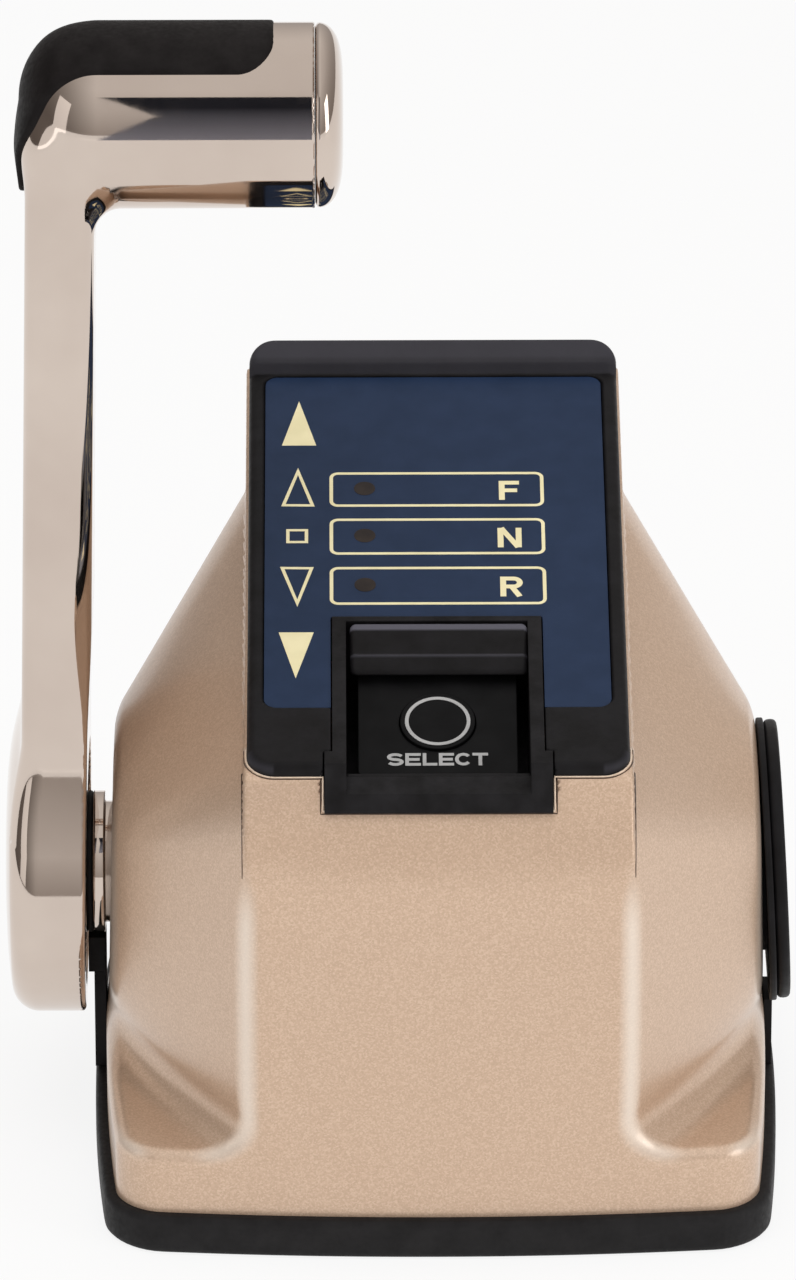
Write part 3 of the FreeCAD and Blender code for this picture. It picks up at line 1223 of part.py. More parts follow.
def make_spring():
    """Coil between the floor of the detent housing and the plunger's tail."""
    wire = size("spring_wire") / 2
    radius = size("plunger_radius") - size("spring_wire")
    floor = size("gasket_height") + size("frame_floor") + size("detent_wall")
    top = size("axis_height") - size("detent_radius") - size("running_gap") - size("plunger_length")
    low = floor + wire + size("running_gap")
    room = top - low - wire - size("running_gap")
    middle = -size("detent_place") - size("detent_thick") / 2
    helix = Part.makeHelix(room / round(room / size("spring_pitch")), room, radius)
    helix.translate(Vector(middle, 0, low))
    start = Vector(middle + radius, 0, low)
    circle = Part.Wire(Part.makeCircle(wire, start, Vector(0, 1, 0)))
    coil = Part.Wire(helix.Edges).makePipeShell([circle], True, True)
    solid("detent_spring", coil)


def make_brake():
    drum = rod("drum_outer", "brake_radius", "brake_width", ("drum_place", "0", "axis_height"), "X")
    drum_bore = rod("drum_bore", "shaft_radius", "brake_width",
                    ("drum_place", "0", "axis_height"), "X")
    cut("friction_drum", drum, drum_bore)
    block = box("shoe_block", ("brake_width", "2 * shoe_half", "shoe_thick + shoe_rise"),
                ("drum_place", "-shoe_half", "axis_height - brake_radius - shoe_thick"))
    hollow = rod("shoe_hollow", "brake_radius + running_gap", "brake_width",
                 ("drum_place", "0", "axis_height"), "X")
    cut("friction_shoe", block, hollow)
    middle = "drum_place + brake_width / 2"
    thread = rod("adjuster_rod", "adjuster_radius - shaft_gap",
                 "axis_height - brake_radius - shoe_thick - shaft_gap - adjuster_low",
                 (middle, "0", "adjuster_low"))
    slot = box("adjuster_slot", ("2 * adjuster_radius", "adjuster_radius / 3", "adjuster_radius / 2"),
               (f"{middle} - adjuster_radius", "-adjuster_radius / 6", "adjuster_low"))
    cut("friction_screw", thread, slot)


make_gasket()
make_base_plate()
make_inserts()
make_screws("cover_screws", "boss_across", "boss_along", "gasket_web", "cover_screw_length")
make_screws("chassis_screws", "foot_across", "foot_along", "gasket_web", "foot_screw_length")
make_grommet()
solid("housing_cover", cover_shape())
make_frame()
make_stop_pins()
make_bearing("bearing_left", "-cheek_place - cheek_thick", "-cheek_place")
make_bearing("bearing_right", "cheek_place", "cheek_place - flange_thick")
make_collar()
make_seal()
make_side_cap()
make_side_trim()
make_bezel()
make_overlay()
make_tub()
make_key()
make_guard()
make_board()
make_arm()
make_lever_parts()
make_rocker()
make_gears()
make_detent()
make_spring()
make_brake()

NODES = """
base_gasket base_plate threaded_inserts cover_screws chassis_screws harness_grommet housing_cover
chassis_frame stop_pins bearing_left bearing_right shaft_collar collar_seal side_cap_ring side_cap
side_neck_left side_neck_right neck_boot panel_bezel panel_overlay switch_tub select_plate select_button tact_switch
switch_board button_guard control_board board_posts indicator_lamps light_pipes main_chips lever_arm
grip_pad grip_end_cap main_shaft lever_set_screw trim_switch_body shaft_circlip trim_rocker
drive_gear sensor_gear sensor_housing detent_disc detent_plunger detent_housing detent_spring
friction_drum friction_shoe friction_screw
""".split()

doc.recompute()
for piece in doc.Objects:
    wrong = {"Invalid", "Error"} & set(piece.State)
    if wrong:
        raise RuntimeError(f"{piece.Name}: {piece.State}")
for name in NODES:
    shape = doc.getObject(name).Shape
    if shape.isNull() or not shape.isValid():
        raise RuntimeError(f"{name} has no valid shape")

os.makedirs("parts", exist_ok=True)
for name in NODES:
    doc.getObject(name).Shape.exportStep(f"parts/{name}.step")
    print(name, len(doc.getObject(name).Shape.Solids), round(doc.getObject(name).Shape.Volume, 1))
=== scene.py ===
import bpy
import json
import math
import numpy as np
from mathutils import Matrix, Vector


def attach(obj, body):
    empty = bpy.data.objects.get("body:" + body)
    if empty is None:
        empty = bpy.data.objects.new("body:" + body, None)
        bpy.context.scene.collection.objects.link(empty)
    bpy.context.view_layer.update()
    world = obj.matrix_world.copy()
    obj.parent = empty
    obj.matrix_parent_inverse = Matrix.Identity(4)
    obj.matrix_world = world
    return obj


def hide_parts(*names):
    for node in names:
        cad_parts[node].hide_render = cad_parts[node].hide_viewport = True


# Top-mount throttle control dressed for looks. Shapes are worked out in millimetres in the
# CAD's frame and turned into metres when a mesh is made.

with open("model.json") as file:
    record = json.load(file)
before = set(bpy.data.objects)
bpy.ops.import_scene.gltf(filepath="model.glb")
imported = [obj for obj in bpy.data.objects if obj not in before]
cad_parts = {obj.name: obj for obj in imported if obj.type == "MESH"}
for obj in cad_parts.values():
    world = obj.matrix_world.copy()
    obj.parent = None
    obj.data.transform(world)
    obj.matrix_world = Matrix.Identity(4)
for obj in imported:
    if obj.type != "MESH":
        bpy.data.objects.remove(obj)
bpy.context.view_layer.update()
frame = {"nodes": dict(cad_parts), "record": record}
NODES = frame["nodes"]
MM = 0.001

AXIS = 51.0                       # height of the lever's axis, which lies along X
TILT = math.radians(15)           # slope of the indicator panel
PANEL = Vector((0, -60, 99.3))    # origin of the panel's plane, at its front edge
KEY_TILT = math.radians(22)       # slope of the select key's plate
STRIP_HALF = 37.3                 # half width of the cover's middle strip
WALL = 3.0                        # wall of the cover
COVER_FOOT = 7.4                  # height of the cover's lower edge, in the gasket
HUB_RADIUS = 29.6
GRIP_RADIUS = 17.8
GRIP_HEIGHT = 209.8               # height of the grip's middle line
GRIP_END = 23.1                   # how far left of the middle the casting ends
SIDE_CAP = (64.75, 0, AXIS)       # middle of the side ring's back
CAP_LEAN = -math.radians(3)       # the side cap leans with the cover's side
OUTLINE_STEPS = 360               # points round the base
ROUND_STEPS = 160                 # points round a turned piece


# Building blocks for shapes given by a formula

def smooth_step(x, low, high):
    t = np.clip((x - low) / (high - low), 0, 1)
    return t * t * (3 - 2 * t)


def round_both(a, b, r):
    """Intersection of two forms with a round edge."""
    return np.minimum(-r, np.maximum(a, b)) + np.hypot(np.maximum(r + a, 0), np.maximum(r + b, 0))


def fillet_either(a, b, r):
    """Union of two forms with a fillet in the corner."""
    return np.maximum(r, np.minimum(a, b)) - np.hypot(np.maximum(r - a, 0), np.maximum(r - b, 0))


def soft_max(a, b, k):
    h = np.maximum(k - np.abs(a - b), 0) / k
    return np.maximum(a, b) + h * h * k / 4


def soft_min(a, b, k):
    return -soft_max(-a, -b, k)


CORNERS = np.array([(i, j, k) for i in (0, 1) for j in (0, 1) for k in (0, 1)])
CELL_EDGES = [(a, b) for a in range(8) for b in range(a + 1, 8)
              if np.abs(CORNERS[a] - CORNERS[b]).sum() == 1]


def slope_at(form, points, reach=0.02):
    parts = []
    for axis in range(3):
        shift = np.zeros(3)
        shift[axis] = reach
        parts.append(form(points + shift) - form(points - shift))
    return np.stack(parts, -1) / (2 * reach)


def net(form, low, high, step):
    """Quads over the surface form = 0, each point moved onto the surface itself."""
    axes = [np.arange(a - step, b + 2 * step, step) for a, b in zip(low, high)]
    grid = np.stack(np.meshgrid(*axes, indexing="ij"), -1)
    field = form(grid)
    size = field.shape
    inside = field < 0
    blocks = [field[i:size[0] - 1 + i, j:size[1] - 1 + j, k:size[2] - 1 + k]
              for i, j, k in CORNERS]
    count = sum((block < 0).astype(np.int8) for block in blocks)
    mixed = (count > 0) & (count < 8)
    cells = np.argwhere(mixed)
    values = np.stack([block[mixed] for block in blocks], -1)
    total = np.zeros((len(cells), 3))
    crossings = np.zeros(len(cells))
    for a, b in CELL_EDGES:
        va, vb = values[:, a], values[:, b]
        crossing = (va < 0) != (vb < 0)
        share = np.where(crossing, va / np.where(crossing, va - vb, 1), 0)
        point = CORNERS[a] + share[:, None] * (CORNERS[b] - CORNERS[a])
        total += np.where(crossing[:, None], point, 0)
        crossings += crossing
    origin = np.array([axis[0] for axis in axes])
    points = origin + (cells + total / crossings[:, None]) * step
    number = np.full(mixed.shape, -1, dtype=np.int64)
    number[mixed] = np.arange(len(cells))
    faces = []
    for axis in range(3):
        other = [n for n in range(3) if n != axis]
        first = np.moveaxis(inside, (axis, other[0], other[1]), (0, 1, 2))
        cell = np.moveaxis(number, (axis, other[0], other[1]), (0, 1, 2))
        change = first[:-1, 1:-1, 1:-1] != first[1:, 1:-1, 1:-1]
        i, j, k = np.nonzero(change)
        quad = np.stack([cell[i, j, k], cell[i, j + 1, k], cell[i, j + 1, k + 1],
                         cell[i, j, k + 1]], -1)
        outward = first[i, j + 1, k + 1]
        if axis == 1:
            outward = ~outward
        quad[~outward] = quad[~outward][:, ::-1]
        faces.append(quad)
    faces = np.concatenate(faces)
    for _ in range(6):
        slope = slope_at(form, points)
        move = form(points)[:, None] * slope / np.maximum((slope ** 2).sum(-1), 1e-3)[:, None]
        far = np.linalg.norm(move, axis=1) / (0.5 * step)
        points = points - move / np.maximum(far, 1)[:, None]
    slope = slope_at(form, points)
    normals = slope / np.maximum(np.linalg.norm(slope, axis=1), 1e-9)[:, None]
    return points, faces, normals


def make_object(name, mesh, body, material, nodes=()):
    piece = bpy.data.objects.new(name, mesh)
    bpy.context.scene.collection.objects.link(piece)
    mesh.materials.append(material)
    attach(piece, body)
    if nodes:
        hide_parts(*nodes)
    return piece


def mesh_from(name, points, faces, normals=None):
    """Mesh in metres from points in millimetres."""
    mesh = bpy.data.meshes.new(name)
    points = np.asarray(points, dtype=float) * MM
    if isinstance(faces, np.ndarray):
        mesh.vertices.add(len(points))
        mesh.vertices.foreach_set("co", points.ravel())
        mesh.loops.add(faces.size)
        mesh.loops.foreach_set("vertex_index", faces.ravel())
        mesh.polygons.add(len(faces))
        width = faces.shape[1]
        mesh.polygons.foreach_set("loop_start", np.arange(len(faces)) * width)
        mesh.polygons.foreach_set("loop_total", np.full(len(faces), width))
        mesh.update(calc_edges=True)
    else:
        mesh.from_pydata([tuple(point) for point in points], [], faces)
    mesh.polygons.foreach_set("use_smooth", np.ones(len(mesh.polygons), dtype=bool))
    if normals is not None:
        mesh.normals_split_custom_set_from_vertices([tuple(normal) for normal in normals])
    return mesh


def ring_mesh(name, rows, closed=True):
    """Joins rows of equally many points into a band."""
    count = len(rows[0])
    points = np.concatenate(rows)
    faces = []
    last = len(rows) if closed else len(rows) - 1
    for row in range(last):
        a = row * count
        b = (row + 1) % len(rows) * count
        first = np.arange(count)
        after = (first + 1) % count
        faces.append(np.stack([a + first, a + after, b + after, b + first], -1))
    return mesh_from(name, points, np.concatenate(faces))


def formed(name, form, low, high, step, body, material, nodes=()):
    mesh = mesh_from(name, *net(form, low, high, step))
    return make_object(name, mesh, body, material, nodes)


# Materials

def srgb(red, green, blue):
    def linear(value):
        value /= 255
        return value / 12.92 if value <= 0.04045 else ((value + 0.055) / 1.055) ** 2.4
    return (linear(red), linear(green), linear(blue), 1)


class Finish:
    """A material whose colour, roughness and relief come from noise in the object's own space."""

    def __init__(self, name, **sockets):
        self.material = bpy.data.materials.new(name)
        self.material.use_nodes = True
        self.tree = self.material.node_tree
        self.shader = self.tree.nodes["Principled BSDF"]
        for socket, value in sockets.items():
            self.shader.inputs[socket.replace("_", " ")].default_value = value
        self.place = self.tree.nodes.new("ShaderNodeTexCoord").outputs["Object"]
        self.relief = None

    def node(self, kind, **inputs):
        """New node; i0, i1 and so on name sockets by number."""
        made = self.tree.nodes.new(kind)
        for key, value in inputs.items():
            numbered = key[0] == "i" and key[1:].isdigit()
            socket = made.inputs[int(key[1:]) if numbered else key]
            if hasattr(value, "is_output"):
                self.tree.links.new(value, socket)
            else:
                socket.default_value = value
        return made

    def noise(self, millimetres, detail=3.0, stretch=None):
        place = self.place
        if stretch:
            place = self.node("ShaderNodeVectorMath", i0=place, i1=stretch)
            place.operation = "MULTIPLY"
            place = place.outputs[0]
        noise = self.node("ShaderNodeTexNoise", Vector=place, Scale=1000 / millimetres,
                          Detail=detail)
        return noise.outputs["Fac"]

    def cells(self, millimetres):
        return self.node("ShaderNodeTexVoronoi", Vector=self.place, Scale=1000 / millimetres)

    def ramp(self, source, low, high, first, last):
        return self.node("ShaderNodeMapRange", i0=source, i1=low, i2=high, i3=first,
                         i4=last).outputs[0]

    def colour(self, source, *stops):
        ramp = self.node("ShaderNodeValToRGB", Fac=source)
        elements = ramp.color_ramp.elements
        while len(elements) < len(stops):
            elements.new(0.5)
        for element, (place, colour) in zip(elements, stops):
            element.position = place
            element.color = colour
        self.tree.links.new(ramp.outputs[0], self.shader.inputs["Base Color"])

    def lighten(self, attribute, most, colour):
        """Mixes a colour in where the mesh carries the named value."""
        carried = self.node("ShaderNodeAttribute")
        carried.attribute_name = attribute
        share = self.ramp(carried.outputs["Fac"], 0, 1, 0, most)
        before = self.shader.inputs["Base Color"].links[0].from_socket
        mix = self.node("ShaderNodeMix")
        mix.data_type = "RGBA"
        self.tree.links.new(share, mix.inputs["Factor"])
        self.tree.links.new(before, mix.inputs[6])
        mix.inputs[7].default_value = colour
        self.tree.links.new(mix.outputs[2], self.shader.inputs["Base Color"])

    def rough(self, source, low, high):
        spread = self.ramp(source, 0.3, 0.7, low, high)
        self.tree.links.new(spread, self.shader.inputs["Roughness"])

    def bump(self, source, strength, millimetres):
        made = self.node("ShaderNodeBump", Strength=strength, Distance=millimetres * MM,
                         Height=source)
        if self.relief:
            self.tree.links.new(self.relief, made.inputs["Normal"])
        self.relief = made.outputs[0]
        self.tree.links.new(self.relief, self.shader.inputs["Normal"])

    def edges(self, millimetres):
        made = self.node("ShaderNodeBevel", Radius=millimetres * MM)
        made.samples = 4
        self.relief = made.outputs[0]
        self.tree.links.new(self.relief, self.shader.inputs["Normal"])


def plastic(name, dark, light, low, high, grain=0.35, relief=0.25, edge=0.35, painted_highlight=None,
            **sockets):
    finish = Finish(name, **sockets)
    finish.edges(edge)
    finish.colour(finish.noise(6), (0.35, srgb(*dark)), (0.65, srgb(*light)))
    # Painted highlight: a lighter colour mixed in where the mesh carries the highlight mark.
    if painted_highlight:
        finish.lighten("highlight_mark", 1.0, srgb(*painted_highlight))
    finish.rough(finish.noise(1.4), low, high)
    finish.bump(finish.noise(grain, 2.0), relief, 0.05)
    return finish.material


def machined(name, dark, light, low, high, stretch=(1, 1, 1), scale=0.6, relief=0.12):
    finish = Finish(name, Metallic=1.0)
    finish.edges(0.2)
    finish.colour(finish.noise(8), (0.35, srgb(*dark)), (0.65, srgb(*light)))
    finish.rough(finish.noise(scale, 3.0, stretch), low, high)
    finish.bump(finish.noise(scale, 2.0, stretch), relief, 0.02)
    return finish.material


def paint():
    finish = Finish("champagne_paint", Metallic=0.4, Coat_Weight=0.4, Coat_Roughness=0.16,
                    Specular_IOR_Level=0.5)
    flakes = finish.cells(0.3)
    fleck = finish.node("ShaderNodeSeparateColor", i0=flakes.outputs["Color"])
    finish.colour(fleck.outputs[0], (0.0, srgb(199, 170, 145)), (0.55, srgb(208, 179, 154)),
                  (1.0, srgb(218, 191, 167)))
    # Painted highlight: near-white paint mixed in where the mesh carries the highlight mark
    # (ridges and foot rim).
    finish.lighten("highlight_mark", 0.6, srgb(250, 240, 228))
    finish.rough(finish.noise(0.8), 0.32, 0.4)
    finish.bump(fleck.outputs[1], 0.07, 0.03)
    finish.bump(finish.noise(2.2, 2.0), 0.04, 0.05)
    return finish.material


def fine_paint(name, dark, light):
    """Paint of the thin lines, too narrow for flakes."""
    finish = Finish(name, Metallic=0.3, Coat_Weight=0.4)
    finish.colour(finish.noise(3), (0.3, srgb(*dark)), (0.7, srgb(*light)))
    finish.rough(finish.noise(1.0), 0.3, 0.4)
    return finish.material


def mirror():
    finish = Finish("polished_steel", Metallic=1.0)
    finish.colour(finish.noise(25), (0.3, srgb(203, 188, 177)), (0.7, srgb(213, 199, 188)))
    finish.rough(finish.noise(3.0, 4.0), 0.035, 0.075)
    finish.bump(finish.noise(14, 2.0), 0.04, 0.12)
    return finish.material


def rubber(name, dark, light, shine):
    finish = Finish(name, Specular_IOR_Level=shine)
    finish.edges(0.5)
    finish.colour(finish.noise(5), (0.35, srgb(*dark)), (0.65, srgb(*light)))
    finish.rough(finish.noise(1.0), 0.5, 0.66)
    finish.bump(finish.noise(0.5, 2.0), 0.22, 0.06)
    return finish.material


PAINT = paint()
# Lighter paint of the bezel's lip bead: a painted highlight.
HIGHLIGHT_PAINT = fine_paint("highlight_paint", (232, 208, 184), (244, 222, 200))
# Darker paint of the groove and crease beads: painted shade.
SHADE = fine_paint("shaded_paint", (64, 46, 34), (84, 62, 48))
STEEL = mirror()
RUBBER = rubber("black_rubber", (24, 23, 24), (31, 30, 31), 0.2)
PAD = rubber("pad_rubber", (20, 17, 17), (28, 25, 25), 0.12)
# Its lighter colour is a painted highlight on the bezel's rim and corners and on the guard's top
# bevel and bend.
PLASTIC = plastic("black_plastic", (19, 18, 19), (25, 24, 26), 0.44, 0.56, relief=0.35,
                  painted_highlight=(92, 91, 101), Specular_IOR_Level=0.14)
GRAINED = plastic("grained_plastic", (20, 19, 20), (32, 31, 33), 0.46, 0.62, grain=0.8,
                  relief=0.8, Specular_IOR_Level=0.14)
KEY = plastic("key_black", (14, 14, 15), (19, 19, 20), 0.36, 0.46, relief=0.12,
              Specular_IOR_Level=0.09)
NAVY = plastic("navy_overlay", (29, 45, 71), (33, 49, 76), 0.34, 0.42, grain=0.6, relief=0.06,
               edge=0.1, Specular_IOR_Level=0.15)
CREAM = plastic("print_cream", (232, 222, 176), (240, 230, 186), 0.4, 0.5, relief=0.05, edge=0.05)
PALE = plastic("print_grey", (164, 164, 164), (176, 176, 176), 0.4, 0.5, relief=0.05, edge=0.05)
LENS = plastic("lamp_lens", (40, 34, 32), (54, 46, 42), 0.3, 0.4, relief=0.05, edge=0.1,
               Specular_IOR_Level=0.15)
CAST = machined("cast_aluminium", (150, 150, 152), (174, 174, 176), 0.4, 0.6, scale=1.6,
                relief=0.5)
PLAIN_STEEL = machined("steel", (160, 160, 162), (182, 182, 184), 0.2, 0.36, stretch=(0.1, 1, 1))
BRONZE = machined("bronze", (170, 132, 84), (190, 150, 98), 0.25, 0.4)
BOARD = plastic("board_green", (18, 74, 46), (24, 88, 54), 0.3, 0.4, grain=1.2)
CHIP = plastic("electronics", (30, 30, 32), (38, 38, 40), 0.5, 0.6)
CLEAR = plastic("clear_plastic", (210, 210, 206), (222, 222, 218), 0.12, 0.2, relief=0.03,
                Transmission_Weight=0.6)
NYLON = plastic("nylon", (214, 208, 190), (224, 219, 204), 0.45, 0.55)

LOOKS = {
    "champagne_paint": PAINT, "polished_steel": STEEL, "black_rubber": RUBBER,
    "black_plastic": PLASTIC, "key_black": KEY, "navy_overlay": NAVY, "cast_aluminium": CAST,
    "steel": PLAIN_STEEL, "bronze": BRONZE, "board_green": BOARD, "electronics": CHIP,
    "clear_plastic": CLEAR, "nylon": NYLON,
}
for part in frame["record"]["subparts"]:
    node = NODES[part["node"]]
    if not node.material_slots:
        node.data.materials.append(LOOKS[part["material_slot"]])
    for slot in node.material_slots:
        slot.material = LOOKS[part["material_slot"]]
for slot in NODES["switch_tub"].material_slots:
    slot.material = GRAINED


# Housing cover

def base_edge(x, y, grow=0.0):
    """Distance outside the bowed base outline."""
    side = np.abs(x) - (65.3 + grow - 2.6 * (y / 56.4) ** 2)
    end = np.abs(y) - (69.0 + grow - 2.6 * (x / 54.7) ** 2)
    return round_both(side, end, 8.0 + grow)


def above_panel(y, z):
    return (z - PANEL.z) * math.cos(TILT) - (y - PANEL.y) * math.sin(TILT)


def shoulder_and_front(points):
    """The two forms that meet in the ridges and the foot's rim, and the radius between them."""
    x, y, z = points[..., 0], points[..., 1], points[..., 2]
    across = np.abs(x)
    up = z - AXIS
    reach = np.hypot(y, up)
    edge = base_edge(x, y)
    drum = np.hypot(np.minimum(y, 0), np.clip(up, 0, 60)) - 74.5
    front = soft_max(edge, drum, 5.5)
    # shoulder: flattened circle at the strip, ruled to the small disc
    slant = (-y * math.sin(TILT) + up * math.cos(TILT)) / np.maximum(reach, 1e-6)
    flat = 55.68 / np.maximum(slant, 0.05)
    large = soft_min(np.full_like(flat, 74.0), flat, 9.0)
    share = np.clip((across - STRIP_HALF) / 27.1, -0.6, 1.2)
    cone = (reach - (large + (27.7 - large) * share)) * 0.505
    slanted = (-y - (68.1 - 40.4 * share)) * 0.557
    cone = soft_max(cone, slanted, 3.0)
    disc = (across - 64.4) + up * math.sin(math.radians(2.6))
    shoulder = round_both(cone, disc, 1.6)
    shoulder = fillet_either(shoulder, z - 21, 8.0)
    return shoulder, front, 2.6 - 2.3 * smooth_step(z, 72, 86)


def cover_block(points):
    """The cover's outside: two shoulders, the front and the middle strip between them."""
    x, y, z = points[..., 0], points[..., 1], points[..., 2]
    across = np.abs(x)
    up = z - AXIS
    shoulder, front, ridge = shoulder_and_front(points)
    top = above_panel(y, z) + 2.3 + 2.7 * smooth_step(y, -50, -46)
    rear = y - 69 + np.maximum(up, 0) * 0.0151
    roof = round_both(front, top, 0.8)
    body = round_both(shoulder, front, ridge)
    body = np.maximum(body, roof - 2 * np.maximum(across - STRIP_HALF, 0))
    body = round_both(body, rear, 1.2)
    # middle strip
    side = np.minimum(37.45 - 1.2 * ridge + 0.3 * smooth_step(z, 80, 86), STRIP_HALF)
    strip = round_both(roof, rear, 1.2)
    strip = round_both(strip, across - side, 0.8)
    return np.minimum(body, strip)


def cover_form(points):
    """The block hollowed out, with the panel's window and the notch for the key's tab."""
    x, y, z = points[..., 0], points[..., 1], points[..., 2]
    block = cover_block(points)
    shell = np.maximum(np.maximum(block, COVER_FOOT - z), -(block + WALL))
    along = (y - PANEL.y) * math.cos(TILT) + (z - PANEL.z) * math.sin(TILT)
    window = np.maximum(np.abs(x) - 31.7, np.abs(along - 67.0) - 57.5)
    window = np.maximum(window, -above_panel(y, z) - 24.0)
    notch = np.maximum(np.abs(x) - 22.15, np.maximum(92.75 - z, y + 46.0))
    return np.maximum(shell, -np.minimum(window, notch))


shell = formed("housing_shell", cover_form, (-66, -70, 7.5), (66, 70, 130), 1.0,
               "housing", PAINT, ["housing_cover"])


def carry_mark(piece, mark):
    """Stores how strongly each point of the mesh carries the painted highlight."""
    layer = piece.data.attributes.new("highlight_mark", "FLOAT", "POINT")
    layer.data.foreach_set("value", mark.astype(np.float32))


def paint_ridge_highlights(piece):
    """Painted highlight: brighter paint along the ridges and the ends of the foot's front rim."""
    points = np.empty(len(piece.data.vertices) * 3)
    piece.data.vertices.foreach_get("co", points)
    points = points.reshape(-1, 3) / MM
    across, z = np.abs(points[:, 0]), points[:, 2]
    shoulder, front, ridge = shoulder_and_front(points)
    near = smooth_step(np.minimum(shoulder, front), -1.1 * ridge, -0.25 * ridge)
    upright = smooth_step(across, 33.8, 36) * smooth_step(z, 26, 30)
    upright = upright * (1 - smooth_step(z, 68, 84))
    ends = 1 - smooth_step(across, 43, 49) + smooth_step(across, 55, 59)
    rim = smooth_step(across, 33, 36) * smooth_step(z, 17, 20) * (1 - smooth_step(z, 26, 30))
    front_only = 1 - smooth_step(points[:, 1], -62, -50)
    carry_mark(piece, near * (upright + rim * (0.15 + 0.75 * ends) * (0.1 + 0.9 * front_only)))


paint_ridge_highlights(shell)


# Frames of the panel and of the key plate

def panel_point(u, v, w):
    return (u, PANEL.y + v * math.cos(TILT) - w * math.sin(TILT),
            PANEL.z + v * math.sin(TILT) + w * math.cos(TILT))


def key_point(u, v, w):
    base = panel_point(0, 21.6, -6.2)
    return (u, base[1] + v * math.cos(KEY_TILT) - w * math.sin(KEY_TILT),
            base[2] + v * math.sin(KEY_TILT) + w * math.cos(KEY_TILT))


def on_panel(name, form, low, high, step, nodes=(), painted_highlight=None):
    """Black plastic piece whose form is given across, up the slope and out of the panel."""
    turn = np.array(Matrix.Rotation(TILT, 3, "X")).T
    points, faces, normals = net(form, low, high, step)
    mesh = mesh_from(name, points @ turn + np.array(PANEL), faces, normals @ turn)
    piece = make_object(name, mesh, "housing", PLASTIC, nodes)
    # Painted highlight: the mark from the given function lightens the plastic there.
    if painted_highlight:
        carry_mark(piece, painted_highlight(points))
    return piece


def rounded_box(a, b, half_a, half_b, r):
    """Distance outside a rounded rectangle about the middle."""
    qa, qb = np.abs(a) - (half_a - r), np.abs(b) - (half_b - r)
    return np.hypot(np.maximum(qa, 0), np.maximum(qb, 0)) + np.minimum(np.maximum(qa, qb), 0) - r


# Bezel, guard bar and the lip under the key

def bezel_form(points):
    u, v, w = points[..., 0], points[..., 1], points[..., 2]
    outline = rounded_box(u, v - 65.35, 36.65, 64.05, 5.4)
    rim = 2.1 * smooth_step(v, 121.6, 122.8) + 1.4 * np.clip((v - 122.3) / 6, 0, 1)
    top = (w - rim) * 0.9
    body = round_both(outline, top, 1.8)
    seat = np.maximum(rounded_box(u, v - 70.25, 33.6, 51.05, 2.8), -0.9 - w)
    opening = rounded_box(u, v - 23, 20.5, 23.4, 0.6)
    tab = np.maximum(np.abs(u) - 22.0, v - 6.1)
    body = round_both(body, -np.minimum(seat, np.minimum(opening, tab)), 0.25)
    return np.maximum(body, -5.0 - w)


def guard_form(points):
    u, v, w = points[..., 0], points[..., 1], points[..., 2]
    steep = np.where(v > 35.7, 0.2 * (42.1 - v), 1.28 + 0.34 * (35.7 - v))
    level = 0.15 - np.where(v > 42.1, 0, steep)
    edge = 0.12 * (1 - smooth_step(np.abs(v - 35.7), 0.05, 0.35))
    outline = rounded_box(u - 0.35, v - 38.1, 17.2, 6.2, 1.3)
    body = round_both(outline, (w - level - edge) * 0.95, 1.0)
    return round_both(body, -3.2 - w, 0.5)


def guard_painted_highlight(points):
    """Painted highlight: lighter top bevel and a fine line along the guard's bend."""
    v = points[:, 1]
    line = 0.3 * (1 - smooth_step(np.abs(v - 35.7), 0.1, 0.45))
    return 0.9 * smooth_step(v, 41.7, 42.3) + line


def bezel_painted_highlight(points):
    """Painted highlight: lighter rear rim and front corners of the bezel."""
    u, v, w = points[:, 0], points[:, 1], points[:, 2]
    across = np.abs(u)
    corner = smooth_step(np.hypot(across - 31.3, v - 6.7), 4.0, 5.2) * (v < 6.7) * (across > 31.3)
    rim = 0.2 * smooth_step(v, 121.4, 122) + 0.1 * smooth_step(v, 123.2, 124.4)
    return rim + 0.2 * corner * smooth_step(w, -2.4, -0.8)


def lip_form(points):
    u, v, w = points[..., 0], points[..., 1], points[..., 2]
    across = rounded_box(v - 3.0, w + 4.2, 1.0, 0.55, 0.45)
    return round_both(across, np.abs(u) - 17.55, 0.2)


on_panel("bezel_frame", bezel_form, (-37, 0.5, -5), (37, 130, 4), 0.5, ["panel_bezel"],
         bezel_painted_highlight)
on_panel("guard_cover", guard_form, (-17, 31, -4), (18, 45, 2), 0.3, ["button_guard"],
         guard_painted_highlight)
on_panel("key_lip", lip_form, (-18, 2, -5), (18, 6, -2), 0.25)


# Fine lines on the cover: the lip round the bezel's front and the tab, a bead in lighter paint as
# a painted highlight, a dark bead beside it as painted shade in the groove, and dark beads as
# painted shade in the side creases

def on_cover(x, angle):
    """Point of the cover's outside at an angle above level, seen from the lever axis."""
    rays = np.linspace(60, 90, 601)
    points = np.stack([np.full_like(rays, x), -rays * math.cos(angle),
                       AXIS + rays * math.sin(angle)], -1)
    outside = np.argmax(cover_block(points) > 0)
    return points[outside]


def bezel_angle(v):
    spot = panel_point(0, v, -2.3)
    return math.atan2(spot[2] - AXIS, -spot[1])


def lip_route(grow):
    """Right half of the line, from the bezel's side round its corner and down the tab."""
    route = [(36.8 + grow, v) for v in (11, 9, 7.3)]
    for step in range(1, 9):
        turn = math.radians(90 * step / 8)
        route.append((31.4 + (5.4 + grow) * math.cos(turn), 6.6 - (5.4 + grow) * math.sin(turn)))
    route = [(x, bezel_angle(v)) for x, v in route]
    high, low = route[-1][1], math.asin((41.3 - grow) / 75)
    tab = 22.1 + grow
    route += [(x, high) for x in np.linspace(31, tab, 10)]
    route += [(tab, angle) for angle in np.linspace(high, low, 12)[1:]]
    route += [(x, low) for x in np.linspace(tab, 0, 16)[1:]]
    return route


